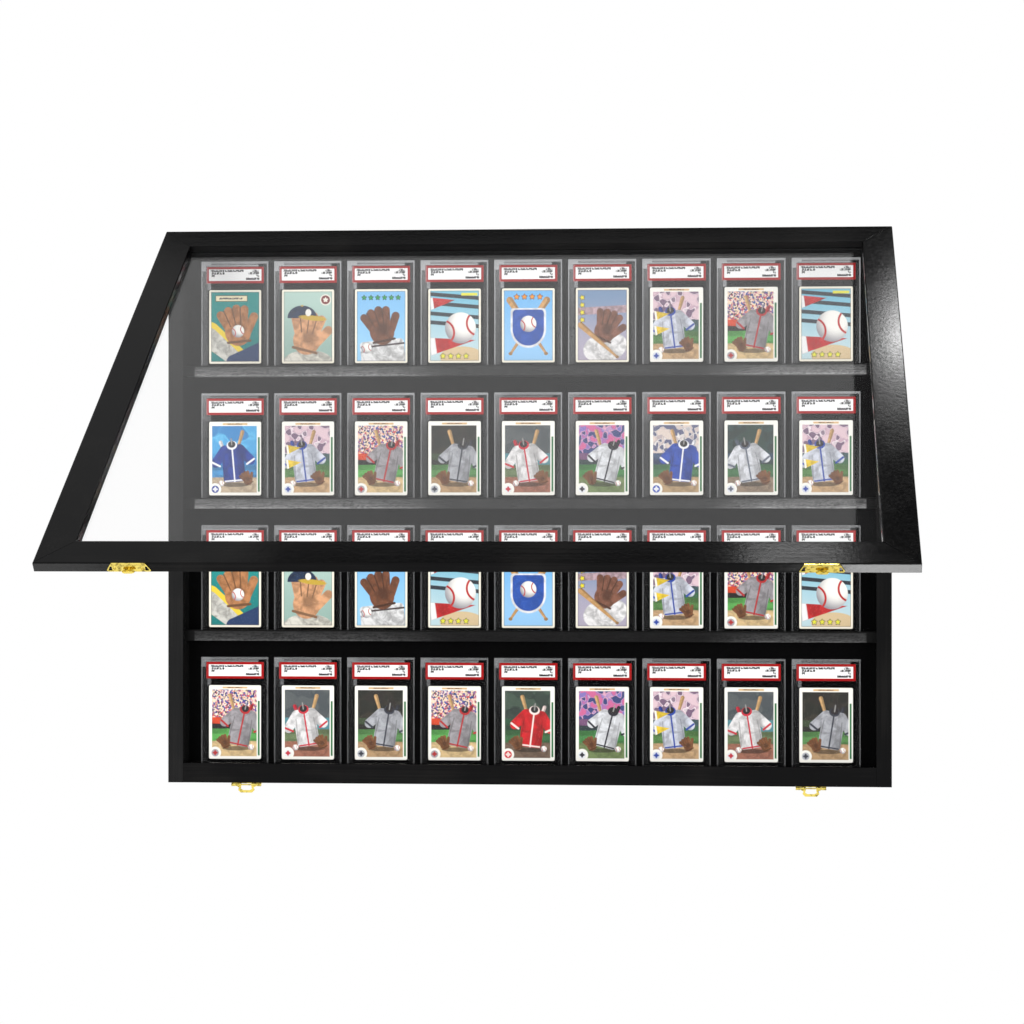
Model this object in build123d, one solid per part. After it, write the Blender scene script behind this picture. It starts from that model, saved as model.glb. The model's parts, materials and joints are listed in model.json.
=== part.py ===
from build123d import *
import os

# A wall-hung display case for graded trading cards: a shallow black wooden box
# with a top-hinged glazed door, four rows of nine slabs and two brass catches.
#
# Millimetres. +X runs to the right of someone facing the case, +Y goes into the
# wall and +Z is up. The wall is the plane Y = 0. The origin lies midway between
# the entry holes of the two keyhole hangers.
#
# Every door piece is drawn on the closed door and then swung open on the hinge
# axis by door_open_angle, which is how the case is stored.

# ---------------------------------------------------------------- dimensions

# Case body
case_width = 864.0
case_height = 650.0
case_depth = 36.0
side_thickness = 18.0
top_rail_height = 12.5
bottom_rail_height = 23.5
edge_break = 0.8
joint_slack = 0.05
screw_sides = 8

# Where the case hangs: its top edge above the origin
case_top = 60.0
case_bottom = case_top - case_height
inner_half_width = case_width / 2 - side_thickness

# Back panel, in a rebate of the four rails, and the felt glued to its face
panel_recess = 0.5
panel_thickness = 3.0
rebate_width = 5.0
rebate_depth = panel_recess + panel_thickness
felt_thickness = 1.0
felt_front = -(rebate_depth + felt_thickness)

# Rows and shelves. A lip top is the top edge of the ledge that a row stands on.
row_names = ["bottom_row", "third_row", "second_row", "top_row"]
row_pitch = 159.0
shelf_height = 13.0
shelf_front = -24.0
shelf_dado = 5.0
lip_thickness = 5.0
groove_width = 8.0
groove_depth = 10.4
lip_tops = [case_bottom + bottom_rail_height + row_pitch * row for row in range(4)]
groove_front = shelf_front + lip_thickness
groove_back = groove_front + groove_width

# Slabs: a welded pair of clear shells around one card and one paper label
slabs_per_row = 9
slab_width = 81.5
slab_height = 136.5
slab_front_thickness = 3.2
slab_back_thickness = 3.15
slab_pitch = 88.85
slab_clearance = 0.8
slab_face = groove_front + slab_clearance
slab_seam = slab_face + slab_front_thickness
window_recess = 0.5
window_margin = 3.0
card_width = 63.5
card_height = 88.9
card_thickness = 0.4
card_foot = 13.4
label_width = 70.0
label_height = 19.9
label_thickness = 0.3
label_foot = 110.4
well_slack = 1.0
well_float = 0.1

# Door: mitred rails and stiles around an acrylic pane held by thin beads
seam = 0.8
door_thickness = 11.0
door_rail_width = 36.0
door_lip = 8.0
pane_thickness = 1.5
pane_rebate = 8.0
pane_slack = 1.0
door_back = -(case_depth + seam)
door_front = door_back - door_thickness
door_open_angle = 53.5

# Butt hinges along the top seam
hinge_places = {"left": -270.0, "right": 270.0}
hinge_length = 38.0
leaf_thickness = 1.1
leaf_proud = 0.3
leaf_reach = 11.0
knuckle_radius = 2.3
knuckle_slack = 0.3
hinge_pin_radius = 1.1
pin_slack = 0.06
barrel_lift = 2.6
hinge_screw_spread = 12.5
hinge_y = -(case_depth + seam / 2)
hinge_z = case_top + barrel_lift
hinge_axis = Axis((0, hinge_y, hinge_z), (-1, 0, 0))

# Hasp catches along the bottom seam: a slotted leaf on the case drops over a
# turn knob on the door. Distances below the bottom faces are called drops.
catch_places = {"left": -337.0, "right": 337.0}
hasp_axis_y = -35.6
hasp_axis_drop = 2.2
hasp_knuckle_radius = 1.8
hasp_pin_radius = 0.8
hasp_plate_thickness = 1.0
hasp_half_width = 18.0
hasp_knuckle_inner = 6.2
hasp_knuckle_outer = 11.8
hasp_knuckle_gap = 0.4
hasp_leaf_thickness = 1.2
hasp_leaf_length = 9.4
catch_screw_spread = 13.6
slot_half_length = 6.6
slot_half_width = 2.2
slot_centre = 4.2
knob_half_length = 6.2
knob_half_width = 1.7
knob_height = 2.0
knob_foot_drop = 3.3
knob_post_radius = 1.5
knob_rivet_radius = 2.6
knob_y = hasp_axis_y - slot_centre

# Keyhole hangers, let into the back of the two sides
hanger_inset = 6.5
hanger_x = case_width / 2 - hanger_inset
hanger_width = 11.0
hanger_low = -13.0
hanger_high = 25.0
hanger_thickness = 1.2
keyhole_entry_radius = 4.0
keyhole_slot_half_width = 2.1
keyhole_rise = 13.0
keyhole_pocket_half_width = 4.3
keyhole_pocket_depth = 8.0
hanger_screw_heights = [-9.0, 21.0]

# Flat wooden biscuits across the four corner joints, two at each
biscuit_thickness = 4.0
biscuit_length = 24.0
biscuit_width = 10.0
biscuit_depths = [-9.0, -28.0]
biscuit_heights = [case_top - top_rail_height / 2, case_bottom + 6.5]

# Staples that hold the back panel in its rebate
staple_crown = 11.0
staple_leg = 8.0
staple_wire = 0.6


# ---------------------------------------------------------------- helpers


def along_x(outline, start, end):
    """Extrudes an outline of (Y, Z) points from X = start to X = end."""
    face = Plane.YZ.offset(start) * Polygon(*outline)
    return extrude(face, end - start, dir=(1, 0, 0))


def along_y(outline, start, end):
    """Extrudes an outline of (X, Z) points from Y = start to Y = end."""
    face = Plane.XZ.offset(-start) * Polygon(*outline)
    return extrude(face, end - start, dir=(0, 1, 0))


def along_z(outline, start, end):
    """Extrudes an outline of (X, Y) points from Z = start to Z = end."""
    face = Plane.XY.offset(start) * Polygon(*outline)
    return extrude(face, end - start, dir=(0, 0, 1))


def rectangle(low_u, high_u, low_v, high_v):
    """The four corners of an upright rectangle."""
    return [(low_u, low_v), (high_u, low_v), (high_u, high_v), (low_u, high_v)]


def cut_corners(half_width, low, high, corner):
    """An upright rectangle about u = 0 with its corners cut off."""
    return [
        (half_width - corner, low),
        (half_width, low + corner),
        (half_width, high - corner),
        (half_width - corner, high),
        (corner - half_width, high),
        (-half_width, high - corner),
        (-half_width, low + corner),
        (corner - half_width, low),
    ]


def rod(centre, direction, radius, length):
    """A cylinder from centre along direction."""
    return extrude(Plane(origin=centre, z_dir=direction) * Circle(radius), length)


def mirrored(outline):
    """A closed outline made of these (u, v) points and their mirror images in u = 0."""
    return outline + [(-u, v) for u, v in reversed(outline)]


def swung_open(shape):
    """A piece of the closed door, taken to where the open door holds it."""
    return shape.rotate(hinge_axis, door_open_angle)


def group(solids):
    """Separate solids that share one node."""
    return Compound(children=[solid.solid() for solid in solids])


def screw(point, inward, head_radius, head_height, shank_radius, length, countersunk=True):
    """A wood screw with its head flush at point, or domed above it. Eight sides keep its mesh light."""
    into = Plane(origin=point, z_dir=inward)
    out = Plane(origin=point, z_dir=-Vector(*inward))
    head_plane = into if countersunk else out
    head_taper = 40 if countersunk else 25
    head = extrude(head_plane * RegularPolygon(head_radius, screw_sides), head_height, taper=head_taper)
    shank = extrude(into * RegularPolygon(shank_radius, screw_sides), length, taper=3)
    return head + shank


# ---------------------------------------------------------------- hinges


def hinge_knuckles(x, share):
    """X spans of a hinge's knuckles: the case leaf has the two outer ones, the door leaf the middle one."""
    step = hinge_length / 3
    first = x - hinge_length / 2
    spans = [(first + step * n, first + step * (n + 1)) for n in range(3)]
    return [spans[0], spans[2]] if share == "case" else [spans[1]]


def hinge_leaf(x, share):
    """One leaf with its rolled knuckles, bored for the pin and cut clear of the other leaf's knuckles."""
    side = 1 if share == "case" else -1
    near = hinge_y + side * (seam / 2 - leaf_proud)
    far = near + side * leaf_thickness
    plate_outline = rectangle(min(near, far), max(near, far), case_top - leaf_reach, hinge_z)
    leaf = along_x(plate_outline, x - hinge_length / 2, x + hinge_length / 2)
    for start, end in hinge_knuckles(x, share):
        leaf += rod((start, hinge_y, hinge_z), (1, 0, 0), knuckle_radius, end - start)
    other = "door" if share == "case" else "case"
    clear_radius = knuckle_radius + knuckle_slack
    for start, end in hinge_knuckles(x, other):
        start -= knuckle_slack
        end += knuckle_slack
        leaf -= rod((start, hinge_y, hinge_z), (1, 0, 0), clear_radius, end - start)
    bore_start = (x - hinge_length, hinge_y, hinge_z)
    leaf -= rod(bore_start, (1, 0, 0), hinge_pin_radius + pin_slack, 2 * hinge_length)
    for fastener in hinge_screws(x, share):
        leaf -= fastener
    return leaf


def hinge_screws(x, share):
    """The two flat-head screws of one leaf."""
    side = 1 if share == "case" else -1
    length = 12.0 if share == "case" else 8.0
    face = hinge_y + side * (seam / 2 - leaf_proud)
    height = case_top - leaf_reach / 2
    return [
        screw((x + offset, face, height), (0, side, 0), 2.3, leaf_thickness, 1.1, length)
        for offset in (-hinge_screw_spread, hinge_screw_spread)
    ]


def hinge_mortise(x, share):
    """The shallow seat of one leaf in its rail."""
    side = 1 if share == "case" else -1
    surface = hinge_y + side * seam / 2
    floor = hinge_y + side * (seam / 2 - leaf_proud + leaf_thickness)
    outline = rectangle(
        min(surface, floor),
        max(surface, floor),
        case_top - leaf_reach,
        case_top + 1,
    )
    return along_x(outline, x - hinge_length / 2, x + hinge_length / 2)


def hinge_pins():
    """One plain pin through each hinge's knuckles."""
    return [
        rod((x - hinge_length / 2, hinge_y, hinge_z), (1, 0, 0), hinge_pin_radius, hinge_length)
        for x in hinge_places.values()
    ]


# ---------------------------------------------------------------- catches


def catch_base(x):
    """The case's half of a catch: a plate under the bottom rail, with two end knuckles for the hasp."""
    top = case_bottom
    plate_back = hasp_axis_y + 11.5
    notch_half = hasp_knuckle_outer + hasp_knuckle_gap
    plate = along_z(
        [
            (x + hasp_half_width, hasp_axis_y),
            (x + hasp_half_width, plate_back - 2),
            (x + hasp_half_width - 2, plate_back),
            (x - hasp_half_width + 2, plate_back),
            (x - hasp_half_width, plate_back - 2),
            (x - hasp_half_width, hasp_axis_y),
        ],
        top - hasp_plate_thickness,
        top,
    )
    notch = rectangle(x - notch_half, x + notch_half, hasp_axis_y - 1, hasp_axis_y + 1.9)
    plate -= along_z(notch, top - 2 * hasp_plate_thickness, top + 1)
    knuckle_length = hasp_half_width - notch_half
    for start in (x - hasp_half_width, x + notch_half):
        centre = (start, hasp_axis_y, top - hasp_axis_drop)
        plate += rod(centre, (1, 0, 0), hasp_knuckle_radius, knuckle_length)
    pin_start = (x - hasp_half_width, hasp_axis_y, top - hasp_axis_drop)
    plate -= rod(pin_start, (1, 0, 0), hasp_pin_radius, 2 * hasp_half_width)
    for fastener in catch_base_screws(x):
        plate -= fastener
    return plate


def catch_base_screws(x):
    """Two round-head screws up into the bottom rail."""
    height = case_bottom - hasp_plate_thickness
    return [
        screw((x + offset, hasp_axis_y + 6.2, height), (0, 0, 1), 2.0, 0.9, 1.0, 9.0, False)
        for offset in (-catch_screw_spread, catch_screw_spread)
    ]


def hasp_pin(x):
    """The pin that the hasp swings on, pressed into the catch base."""
    start = (x - hasp_half_width, hasp_axis_y, case_bottom - hasp_axis_drop)
    return rod(start, (1, 0, 0), hasp_pin_radius, 2 * hasp_half_width)


def hasp_leaf(x):
    """The hanging hasp: two knuckles, a long slot close under the pin and a six-sided thumb end."""
    axis_z = case_bottom - hasp_axis_drop
    half_thickness = hasp_leaf_thickness / 2
    right_side = [
        (hasp_knuckle_outer, 0),
        (hasp_knuckle_outer, -1.7),
        (8.8, -3.4),
        (10.0, -6.2),
        (7.0, -hasp_leaf_length),
    ]
    outline = [(x + u, axis_z + v) for u, v in mirrored(right_side)]
    leaf = along_y(outline, hasp_axis_y + half_thickness, hasp_axis_y - half_thickness)
    for start in (x - hasp_knuckle_outer, x + hasp_knuckle_inner):
        centre = (start, hasp_axis_y, axis_z)
        length = hasp_knuckle_outer - hasp_knuckle_inner
        leaf += rod(centre, (1, 0, 0), hasp_knuckle_radius, length)
    bore_start = (x - hasp_half_width, hasp_axis_y, axis_z)
    leaf -= rod(bore_start, (1, 0, 0), hasp_pin_radius + pin_slack, 2 * hasp_half_width)
    slot_place = (x, hasp_axis_y + 2, axis_z - slot_centre)
    slot_plane = Plane(origin=slot_place, x_dir=(1, 0, 0), z_dir=(0, -1, 0))
    leaf -= extrude(slot_plane * Polygon(*eight_sided(slot_half_length, slot_half_width)), 4)
    pin_gap = rectangle(
        x - hasp_knuckle_inner, x + hasp_knuckle_inner, axis_z - slot_centre, axis_z + 1
    )
    leaf -= along_y(pin_gap, hasp_axis_y + 2, hasp_axis_y - 2)
    return leaf


def catch_plate(x):
    """The door's half of a catch: a trapezoid plate with a rolled front edge and an open window each side."""
    top = case_bottom
    back_half = 22.0
    front_half = 17.0
    plate_back = door_back - 0.9
    plate_front = door_front + 0.2
    plate = along_z(
        [
            (x - front_half, plate_front),
            (x + front_half, plate_front),
            (x + back_half, plate_back - 1.5),
            (x + back_half - 1.5, plate_back),
            (x - back_half + 1.5, plate_back),
            (x - back_half, plate_back - 1.5),
        ],
        top - hasp_plate_thickness,
        top,
    )
    bead_radius = 1.1
    bead_start = (x - front_half + 0.4, plate_front + bead_radius, top - bead_radius)
    plate += rod(bead_start, (1, 0, 0), bead_radius, 2 * front_half - 0.8)
    for side in (-1, 1):
        window = [
            (x + side * 16.4, plate_back - 1.4),
            (x + side * 20.4, plate_back - 1.4),
            (x + side * 18.2, plate_back - 6.2),
            (x + side * 16.4, plate_back - 6.2),
        ]
        plate -= along_z(window, top - 2 * hasp_plate_thickness, top + 1)
    plate -= rod((x, knob_y, top + 1), (0, 0, -1), knob_post_radius + pin_slack, 3)
    for fastener in catch_plate_screws(x):
        plate -= fastener
    return plate


def catch_plate_screws(x):
    """Two round-head screws into the door's bottom rail."""
    height = case_bottom - hasp_plate_thickness
    return [
        screw((x + offset, door_back - 5.4, height), (0, 0, 1), 2.0, 0.9, 1.0, 9.0, False)
        for offset in (-catch_screw_spread, catch_screw_spread)
    ]


def eight_sided(half_length, half_width):
    """The long eight-sided outline that the hasp's slot and the knob's wing share."""
    right_half = [
        (0.6 * half_length, -half_width),
        (half_length, -0.4 * half_width),
        (half_length, 0.4 * half_width),
        (0.6 * half_length, half_width),
    ]
    return mirrored(right_half)


def turn_knob(x):
    """A riveted post with an eight-sided wing that passes the hasp's slot one way and locks it the other."""
    top = case_bottom
    rivet_plane = Plane(origin=(x, knob_y, top + 0.2), z_dir=(0, 0, 1))
    rivet = extrude(rivet_plane * RegularPolygon(knob_rivet_radius, screw_sides), 1.0)
    post = rod((x, knob_y, top + 0.2), (0, 0, -1), knob_post_radius, knob_foot_drop + 0.2)
    wing_plane = Plane(origin=(x, knob_y, top - knob_foot_drop), x_dir=(1, 0, 0), z_dir=(0, 0, -1))
    wing_outline = Polygon(*eight_sided(knob_half_length, knob_half_width))
    wing = extrude(wing_plane * wing_outline, knob_height, taper=12)
    return rivet + post + wing


def knob_pocket(x):
    """Room in the door's bottom rail for the knob's rivet."""
    half = knob_rivet_radius + 0.8
    outline = rectangle(x - half, x + half, knob_y - half, door_back)
    return along_z(outline, case_bottom, case_bottom + 1.6)


# ---------------------------------------------------------------- hangers


def keyhole(x):
    """The plate's keyhole on the XZ plane: a round entry with a round-ended slot above it."""
    entry = Pos(x, 0) * Circle(keyhole_entry_radius)
    slot = Pos(x, keyhole_rise / 2) * Rectangle(2 * keyhole_slot_half_width, keyhole_rise)
    slot_end = Pos(x, keyhole_rise) * Circle(keyhole_slot_half_width)
    return entry + slot + slot_end


def hanger_plate(x):
    """A flush steel keyhole plate on the back of a side."""
    outline = cut_corners(hanger_width / 2, hanger_low, hanger_high, 2.5)
    outline = [(x + u, v) for u, v in outline]
    plate = along_y(outline, 0, -hanger_thickness)
    plate -= extrude(Plane.XZ.offset(-1) * keyhole(x), 1 + 2 * hanger_thickness)
    for fastener in hanger_screws(x):
        plate -= fastener
    return plate


def hanger_seat(x):
    """The plate's mortise in the wood, with a deeper pocket for the head of the wall screw."""
    outline = cut_corners(hanger_width / 2, hanger_low, hanger_high, 2.5)
    outline = [(x + u, v) for u, v in outline]
    seat = along_y(outline, 0, -hanger_thickness)
    pocket = cut_corners(
        keyhole_pocket_half_width,
        -keyhole_pocket_half_width,
        keyhole_rise + keyhole_pocket_half_width,
        1.5,
    )
    return seat + along_y([(x + u, v) for u, v in pocket], 0, -keyhole_pocket_depth)


def hanger_screws(x):
    """Two flat-head screws through a hanger plate."""
    return [
        screw((x, 0, height), (0, -1, 0), 2.1, hanger_thickness, 1.1, 12.0)
        for height in hanger_screw_heights
    ]


# ---------------------------------------------------------------- case body


def corner_biscuits(grow=0):
    """Two flat biscuits across each corner joint, or their slots when grown by a little."""
    biscuits = []
    for side in (-1, 1):
        for height in biscuit_heights:
            for depth in biscuit_depths:
                outline = cut_corners(
                    biscuit_length / 2 + grow,
                    depth - biscuit_width / 2 - grow,
                    depth + biscuit_width / 2 + grow,
                    3.0,
                )
                outline = [(side * inner_half_width + u, v) for u, v in outline]
                low = height - biscuit_thickness / 2 - grow
                biscuits.append(along_z(outline, low, low + biscuit_thickness + 2 * grow))
    return biscuits


def case_side(side):
    """A full-height side: rebated at the back, housed for the shelves, with its front edges eased."""
    outer = side * case_width / 2
    inner = side * inner_half_width
    outline = [
        (outer, 0),
        (outer, edge_break - case_depth),
        (outer - side * edge_break, -case_depth),
        (inner, -case_depth),
        (inner, -rebate_depth),
        (inner + side * rebate_width, -rebate_depth),
        (inner + side * rebate_width, 0),
    ]
    rail = along_z(outline, case_bottom, case_top)
    for lip_top in lip_tops[1:]:
        housing = shelf_outline(lip_top, with_groove=False)
        ends = sorted([inner - side, inner + side * (shelf_dado + joint_slack)])
        rail -= along_x(housing, ends[0], ends[1])
    for slot in corner_biscuits(grow=joint_slack):
        rail -= slot
    return rail - hanger_seat(side * hanger_x)


def top_rail():
    """The rail above the top row, with the hinge mortises in its front edge."""
    low = case_top - top_rail_height
    outline = [
        (-case_depth, low),
        (-rebate_depth, low),
        (-rebate_depth, low + rebate_width),
        (0, low + rebate_width),
        (0, case_top),
        (-case_depth, case_top),
    ]
    rail = along_x(outline, -inner_half_width, inner_half_width)
    for x in hinge_places.values():
        rail -= hinge_mortise(x, "case")
    for slot in corner_biscuits(grow=joint_slack):
        rail -= slot
    return rail


def bottom_rail():
    """The deep rail under the bottom row, grooved like a shelf."""
    high = case_bottom + bottom_rail_height
    outline = [
        (-case_depth, case_bottom),
        (0, case_bottom),
        (0, high - rebate_width),
        (-rebate_depth, high - rebate_width),
        (-rebate_depth, high),
        (groove_back, high),
        (groove_back, high - groove_depth),
        (groove_front, high - groove_depth),
        (groove_front, high),
        (edge_break - case_depth, high),
        (-case_depth, high - edge_break),
    ]
    rail = along_x(outline, -inner_half_width, inner_half_width)
    for slot in corner_biscuits(grow=joint_slack):
        rail -= slot
    return rail


def shelf_outline(lip_top, with_groove=True):
    """A shelf's section on the YZ plane: a front lip, the slab groove and a rear ledge against the felt."""
    low = lip_top - shelf_height
    front = [
        (felt_front, low),
        (felt_front, lip_top),
    ]
    groove = [
        (groove_back, lip_top),
        (groove_back, lip_top - groove_depth),
        (groove_front, lip_top - groove_depth),
        (groove_front, lip_top),
    ]
    lip = [
        (shelf_front + 0.6, lip_top),
        (shelf_front, lip_top - 0.6),
        (shelf_front, low),
    ]
    return front + (groove if with_groove else []) + lip


def shelf(lip_top):
    """One grooved shelf, its ends housed in the sides."""
    reach = inner_half_width + shelf_dado
    return along_x(shelf_outline(lip_top), -reach, reach)


def back_panel():
    """The thin board that closes the case, lying in the rails' rebate."""
    half_width = inner_half_width + rebate_width - 0.5
    low = case_bottom + bottom_rail_height - rebate_width + 0.5
    high = case_top - top_rail_height + rebate_width - 0.5
    return along_y(rectangle(-half_width, half_width, low, high), -panel_recess, -rebate_depth)


def staple():
    """A square-wire staple about the origin, crown along X and legs running forward."""
    half = staple_crown / 2
    inner = half - staple_wire
    outline = [
        (-half, 0),
        (-half, -staple_leg),
        (-inner, -staple_leg),
        (-inner, -staple_wire),
        (inner, -staple_wire),
        (inner, -staple_leg),
        (half, -staple_leg),
        (half, 0),
    ]
    return along_z(outline, -staple_wire / 2, staple_wire / 2)


def back_panel_staples():
    """Staples around the panel's edge, their crowns just under the wall plane."""
    edge_x = inner_half_width + rebate_width / 2
    low = case_bottom + bottom_rail_height - rebate_width / 2
    high = case_top - top_rail_height + rebate_width / 2
    crown_y = staple_wire - panel_recess - 0.2
    staples = [
        Pos(x, crown_y, z) * staple() for x in (-300.0, 0.0, 300.0) for z in (low, high)
    ]
    upright = staple().rotate(Axis.Y, 90)
    for side in (-1, 1):
        staples += [Pos(side * edge_x, crown_y, lip_top + 75) * upright for lip_top in lip_tops]
    return staples


def felt_liner():
    """The felt over the back panel's face, inside the rails."""
    low = case_bottom + bottom_rail_height
    high = case_top - top_rail_height
    outline = rectangle(-inner_half_width, inner_half_width, low, high)
    return along_y(outline, -rebate_depth, felt_front)


# ---------------------------------------------------------------- slabs


def in_row(piece, lip_top):
    """Nine copies of a slab piece, drawn about X = 0 on a slab whose foot is at Z = 0."""
    first = -(slabs_per_row - 1) / 2 * slab_pitch
    foot = lip_top - groove_depth
    return [Pos(first + slab_pitch * n, 0, foot) * piece for n in range(slabs_per_row)]


def slab_front():
    """The front shell: a sunk window on its face, and wells for the card and label behind it."""
    body = along_y(rectangle(-slab_width / 2, slab_width / 2, 0, slab_height), slab_seam, slab_face)
    window = rectangle(
        window_margin - slab_width / 2,
        slab_width / 2 - window_margin,
        window_margin,
        slab_height - window_margin,
    )
    body -= along_y(window, slab_face + window_recess, slab_face - 1)
    card_half = (card_width + well_slack) / 2
    card_depth = card_thickness + 2 * well_float
    card_well = rectangle(
        -card_half, card_half, card_foot - well_slack / 2, card_foot + card_height + well_slack / 2
    )
    body -= along_y(card_well, slab_seam + 1, slab_seam - card_depth)
    label_half = (label_width + well_slack) / 2
    label_depth = label_thickness + 2 * well_float
    label_well = rectangle(
        -label_half,
        label_half,
        label_foot - well_slack / 2,
        label_foot + label_height + well_slack / 2,
    )
    body -= along_y(label_well, slab_seam + 1, slab_seam - label_depth)
    return body


def slab_back():
    """The plain rear shell."""
    outline = rectangle(-slab_width / 2, slab_width / 2, 0, slab_height)
    return along_y(outline, slab_seam + slab_back_thickness, slab_seam)


def card():
    """A card floating in its well."""
    outline = rectangle(-card_width / 2, card_width / 2, card_foot, card_foot + card_height)
    return along_y(outline, slab_seam - well_float, slab_seam - well_float - card_thickness)


def label():
    """The paper label above the card."""
    outline = rectangle(
        -label_width / 2, label_width / 2, label_foot, label_foot + label_height
    )
    return along_y(outline, slab_seam - well_float, slab_seam - well_float - label_thickness)


# ---------------------------------------------------------------- door


def door_profile():
    """The section of a rail as (depth from the door's back, distance in from its outer edge)."""
    back = door_back
    front = door_front
    return [
        (back, 0),
        (back, door_rail_width - pane_rebate),
        (front + door_lip, door_rail_width - pane_rebate),
        (front + door_lip, door_rail_width),
        (front + edge_break, door_rail_width),
        (front, door_rail_width - edge_break),
        (front, edge_break),
        (front + edge_break, 0),
    ]


def mitre(half_length, width):
    """The trapezoid that a rail of this half length is mitred to, about the origin of its outer edge."""
    return [
        (-half_length, 0),
        (half_length, 0),
        (half_length - width, width),
        (width - half_length, width),
    ]


def door_rail(edge):
    """One mitred, rebated member of the door frame: top, bottom, left or right."""
    centre_z = (case_top + case_bottom) / 2
    upright = edge in ("left", "right")
    half_length = (case_height if upright else case_width) / 2
    bar = along_x(door_profile(), -half_length, half_length)
    wedge = along_y(mitre(half_length, door_rail_width), door_back + 1, door_front - 1)
    blank = bar & wedge
    turn = {"bottom": 0, "right": -90, "top": 180, "left": 90}[edge]
    reach = (case_width if upright else case_height) / 2
    lowered = Pos(0, 0, -reach) * blank
    return Pos(0, 0, centre_z) * lowered.rotate(Axis.Y, turn)


def door_frame():
    """The four members, mortised for the hinges and bored for the knobs' rivets."""
    top = door_rail("top")
    for x in hinge_places.values():
        top -= hinge_mortise(x, "door")
    bottom = door_rail("bottom")
    for x in catch_places.values():
        bottom -= knob_pocket(x)
    return {
        "door_top_rail": top,
        "door_bottom_rail": bottom,
        "door_left_stile": door_rail("left"),
        "door_right_stile": door_rail("right"),
    }


def door_pane():
    """The acrylic sheet, lying in the rebate with a little room all round."""
    half_width = case_width / 2 - door_rail_width + pane_rebate - pane_slack
    low = case_bottom + door_rail_width - pane_rebate + pane_slack
    high = case_top - door_rail_width + pane_rebate - pane_slack
    front = door_front + door_lip
    return along_y(rectangle(-half_width, half_width, low, high), front + pane_thickness, front)


def glazing_beads():
    """Four thin strips that hold the pane, flush with the door's back."""
    front = door_front + door_lip + pane_thickness
    outer_x = case_width / 2 - door_rail_width + pane_rebate
    outer_low = case_bottom + door_rail_width - pane_rebate
    outer_high = case_top - door_rail_width + pane_rebate
    spans = {
        "glazing_bead_top": (-outer_x, outer_x, outer_high - pane_rebate, outer_high),
        "glazing_bead_bottom": (-outer_x, outer_x, outer_low, outer_low + pane_rebate),
        "glazing_bead_left": (
            -outer_x,
            pane_rebate - outer_x,
            outer_low + pane_rebate,
            outer_high - pane_rebate,
        ),
        "glazing_bead_right": (
            outer_x - pane_rebate,
            outer_x,
            outer_low + pane_rebate,
            outer_high - pane_rebate,
        ),
    }
    return {name: along_y(rectangle(*span), door_back, front) for name, span in spans.items()}


# ---------------------------------------------------------------- assembly


def case_pieces():
    """Every piece that stays on the wall."""
    pieces = {
        "case_left_side": case_side(-1),
        "case_right_side": case_side(1),
        "case_top_rail": top_rail(),
        "case_bottom_rail": bottom_rail(),
        "back_panel": back_panel(),
        "felt_liner": felt_liner(),
        "lower_shelf": shelf(lip_tops[1]),
        "middle_shelf": shelf(lip_tops[2]),
        "upper_shelf": shelf(lip_tops[3]),
        "corner_biscuits": group(corner_biscuits()),
        "back_panel_staples": group(back_panel_staples()),
        "hinge_pins": group(hinge_pins()),
        "hasp_pins": group([hasp_pin(x) for x in catch_places.values()]),
    }
    case_screws = []
    for place, x in hinge_places.items():
        pieces[f"hinge_case_leaf_{place}"] = hinge_leaf(x, "case")
        case_screws += hinge_screws(x, "case")
    pieces["hinge_case_screws"] = group(case_screws)
    base_screws = []
    plate_screws = []
    hanger_plates = []
    for place, x in catch_places.items():
        side = -1 if x < 0 else 1
        pieces[f"catch_base_{place}"] = catch_base(x)
        base_screws += catch_base_screws(x)
        hanger_plates.append(hanger_plate(side * hanger_x))
        plate_screws += hanger_screws(side * hanger_x)
    pieces["catch_base_screws"] = group(base_screws)
    pieces["hanger_plates"] = group(hanger_plates)
    pieces["hanger_screws"] = group(plate_screws)
    return pieces


def slab_pieces():
    """The slabs of each row, as fronts, backs, cards and labels."""
    kinds = {
        "slab_fronts": slab_front(),
        "slab_backs": slab_back(),
        "cards": card(),
        "labels": label(),
    }
    pieces = {}
    for row_name, lip_top in zip(row_names, lip_tops):
        for kind, piece in kinds.items():
            pieces[f"{row_name}_{kind}"] = group(in_row(piece, lip_top))
    return pieces


def door_pieces():
    """Every piece that swings with the door, drawn closed."""
    pieces = door_frame()
    pieces["door_pane"] = door_pane()
    pieces.update(glazing_beads())
    leaf_screws = []
    for place, x in hinge_places.items():
        pieces[f"hinge_door_leaf_{place}"] = hinge_leaf(x, "door")
        leaf_screws += hinge_screws(x, "door")
    pieces["hinge_door_screws"] = group(leaf_screws)
    plate_screws = []
    for place, x in catch_places.items():
        pieces[f"catch_plate_{place}"] = catch_plate(x)
        pieces[f"turn_knob_{place}"] = turn_knob(x)
        plate_screws += catch_plate_screws(x)
    pieces["catch_plate_screws"] = group(plate_screws)
    return pieces


def all_pieces():
    """Every node of the stored case, with its door open."""
    pieces = case_pieces()
    pieces.update(slab_pieces())
    for place, x in catch_places.items():
        pieces[f"hasp_leaf_{place}"] = hasp_leaf(x)
    for name, piece in door_pieces().items():
        pieces[name] = swung_open(piece)
    return pieces


os.makedirs("parts", exist_ok=True)
for node_name, node_shape in all_pieces().items():
    export_step(node_shape, f"parts/{node_name}.step")
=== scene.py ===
"""A dressed wall-hung display case for graded trading cards.

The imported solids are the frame. Each sub-assembly below lays its finishes on them, or puts a finely
modelled piece in the place of a plain solid. Everything is in metres: +X runs to the right of someone
facing the case, +Y goes into the wall and +Z is up.
"""

import json
import logging
import math
from collections.abc import Callable, Mapping, Sequence
from dataclasses import dataclass
from enum import Enum
from typing import Any, Union

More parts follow.
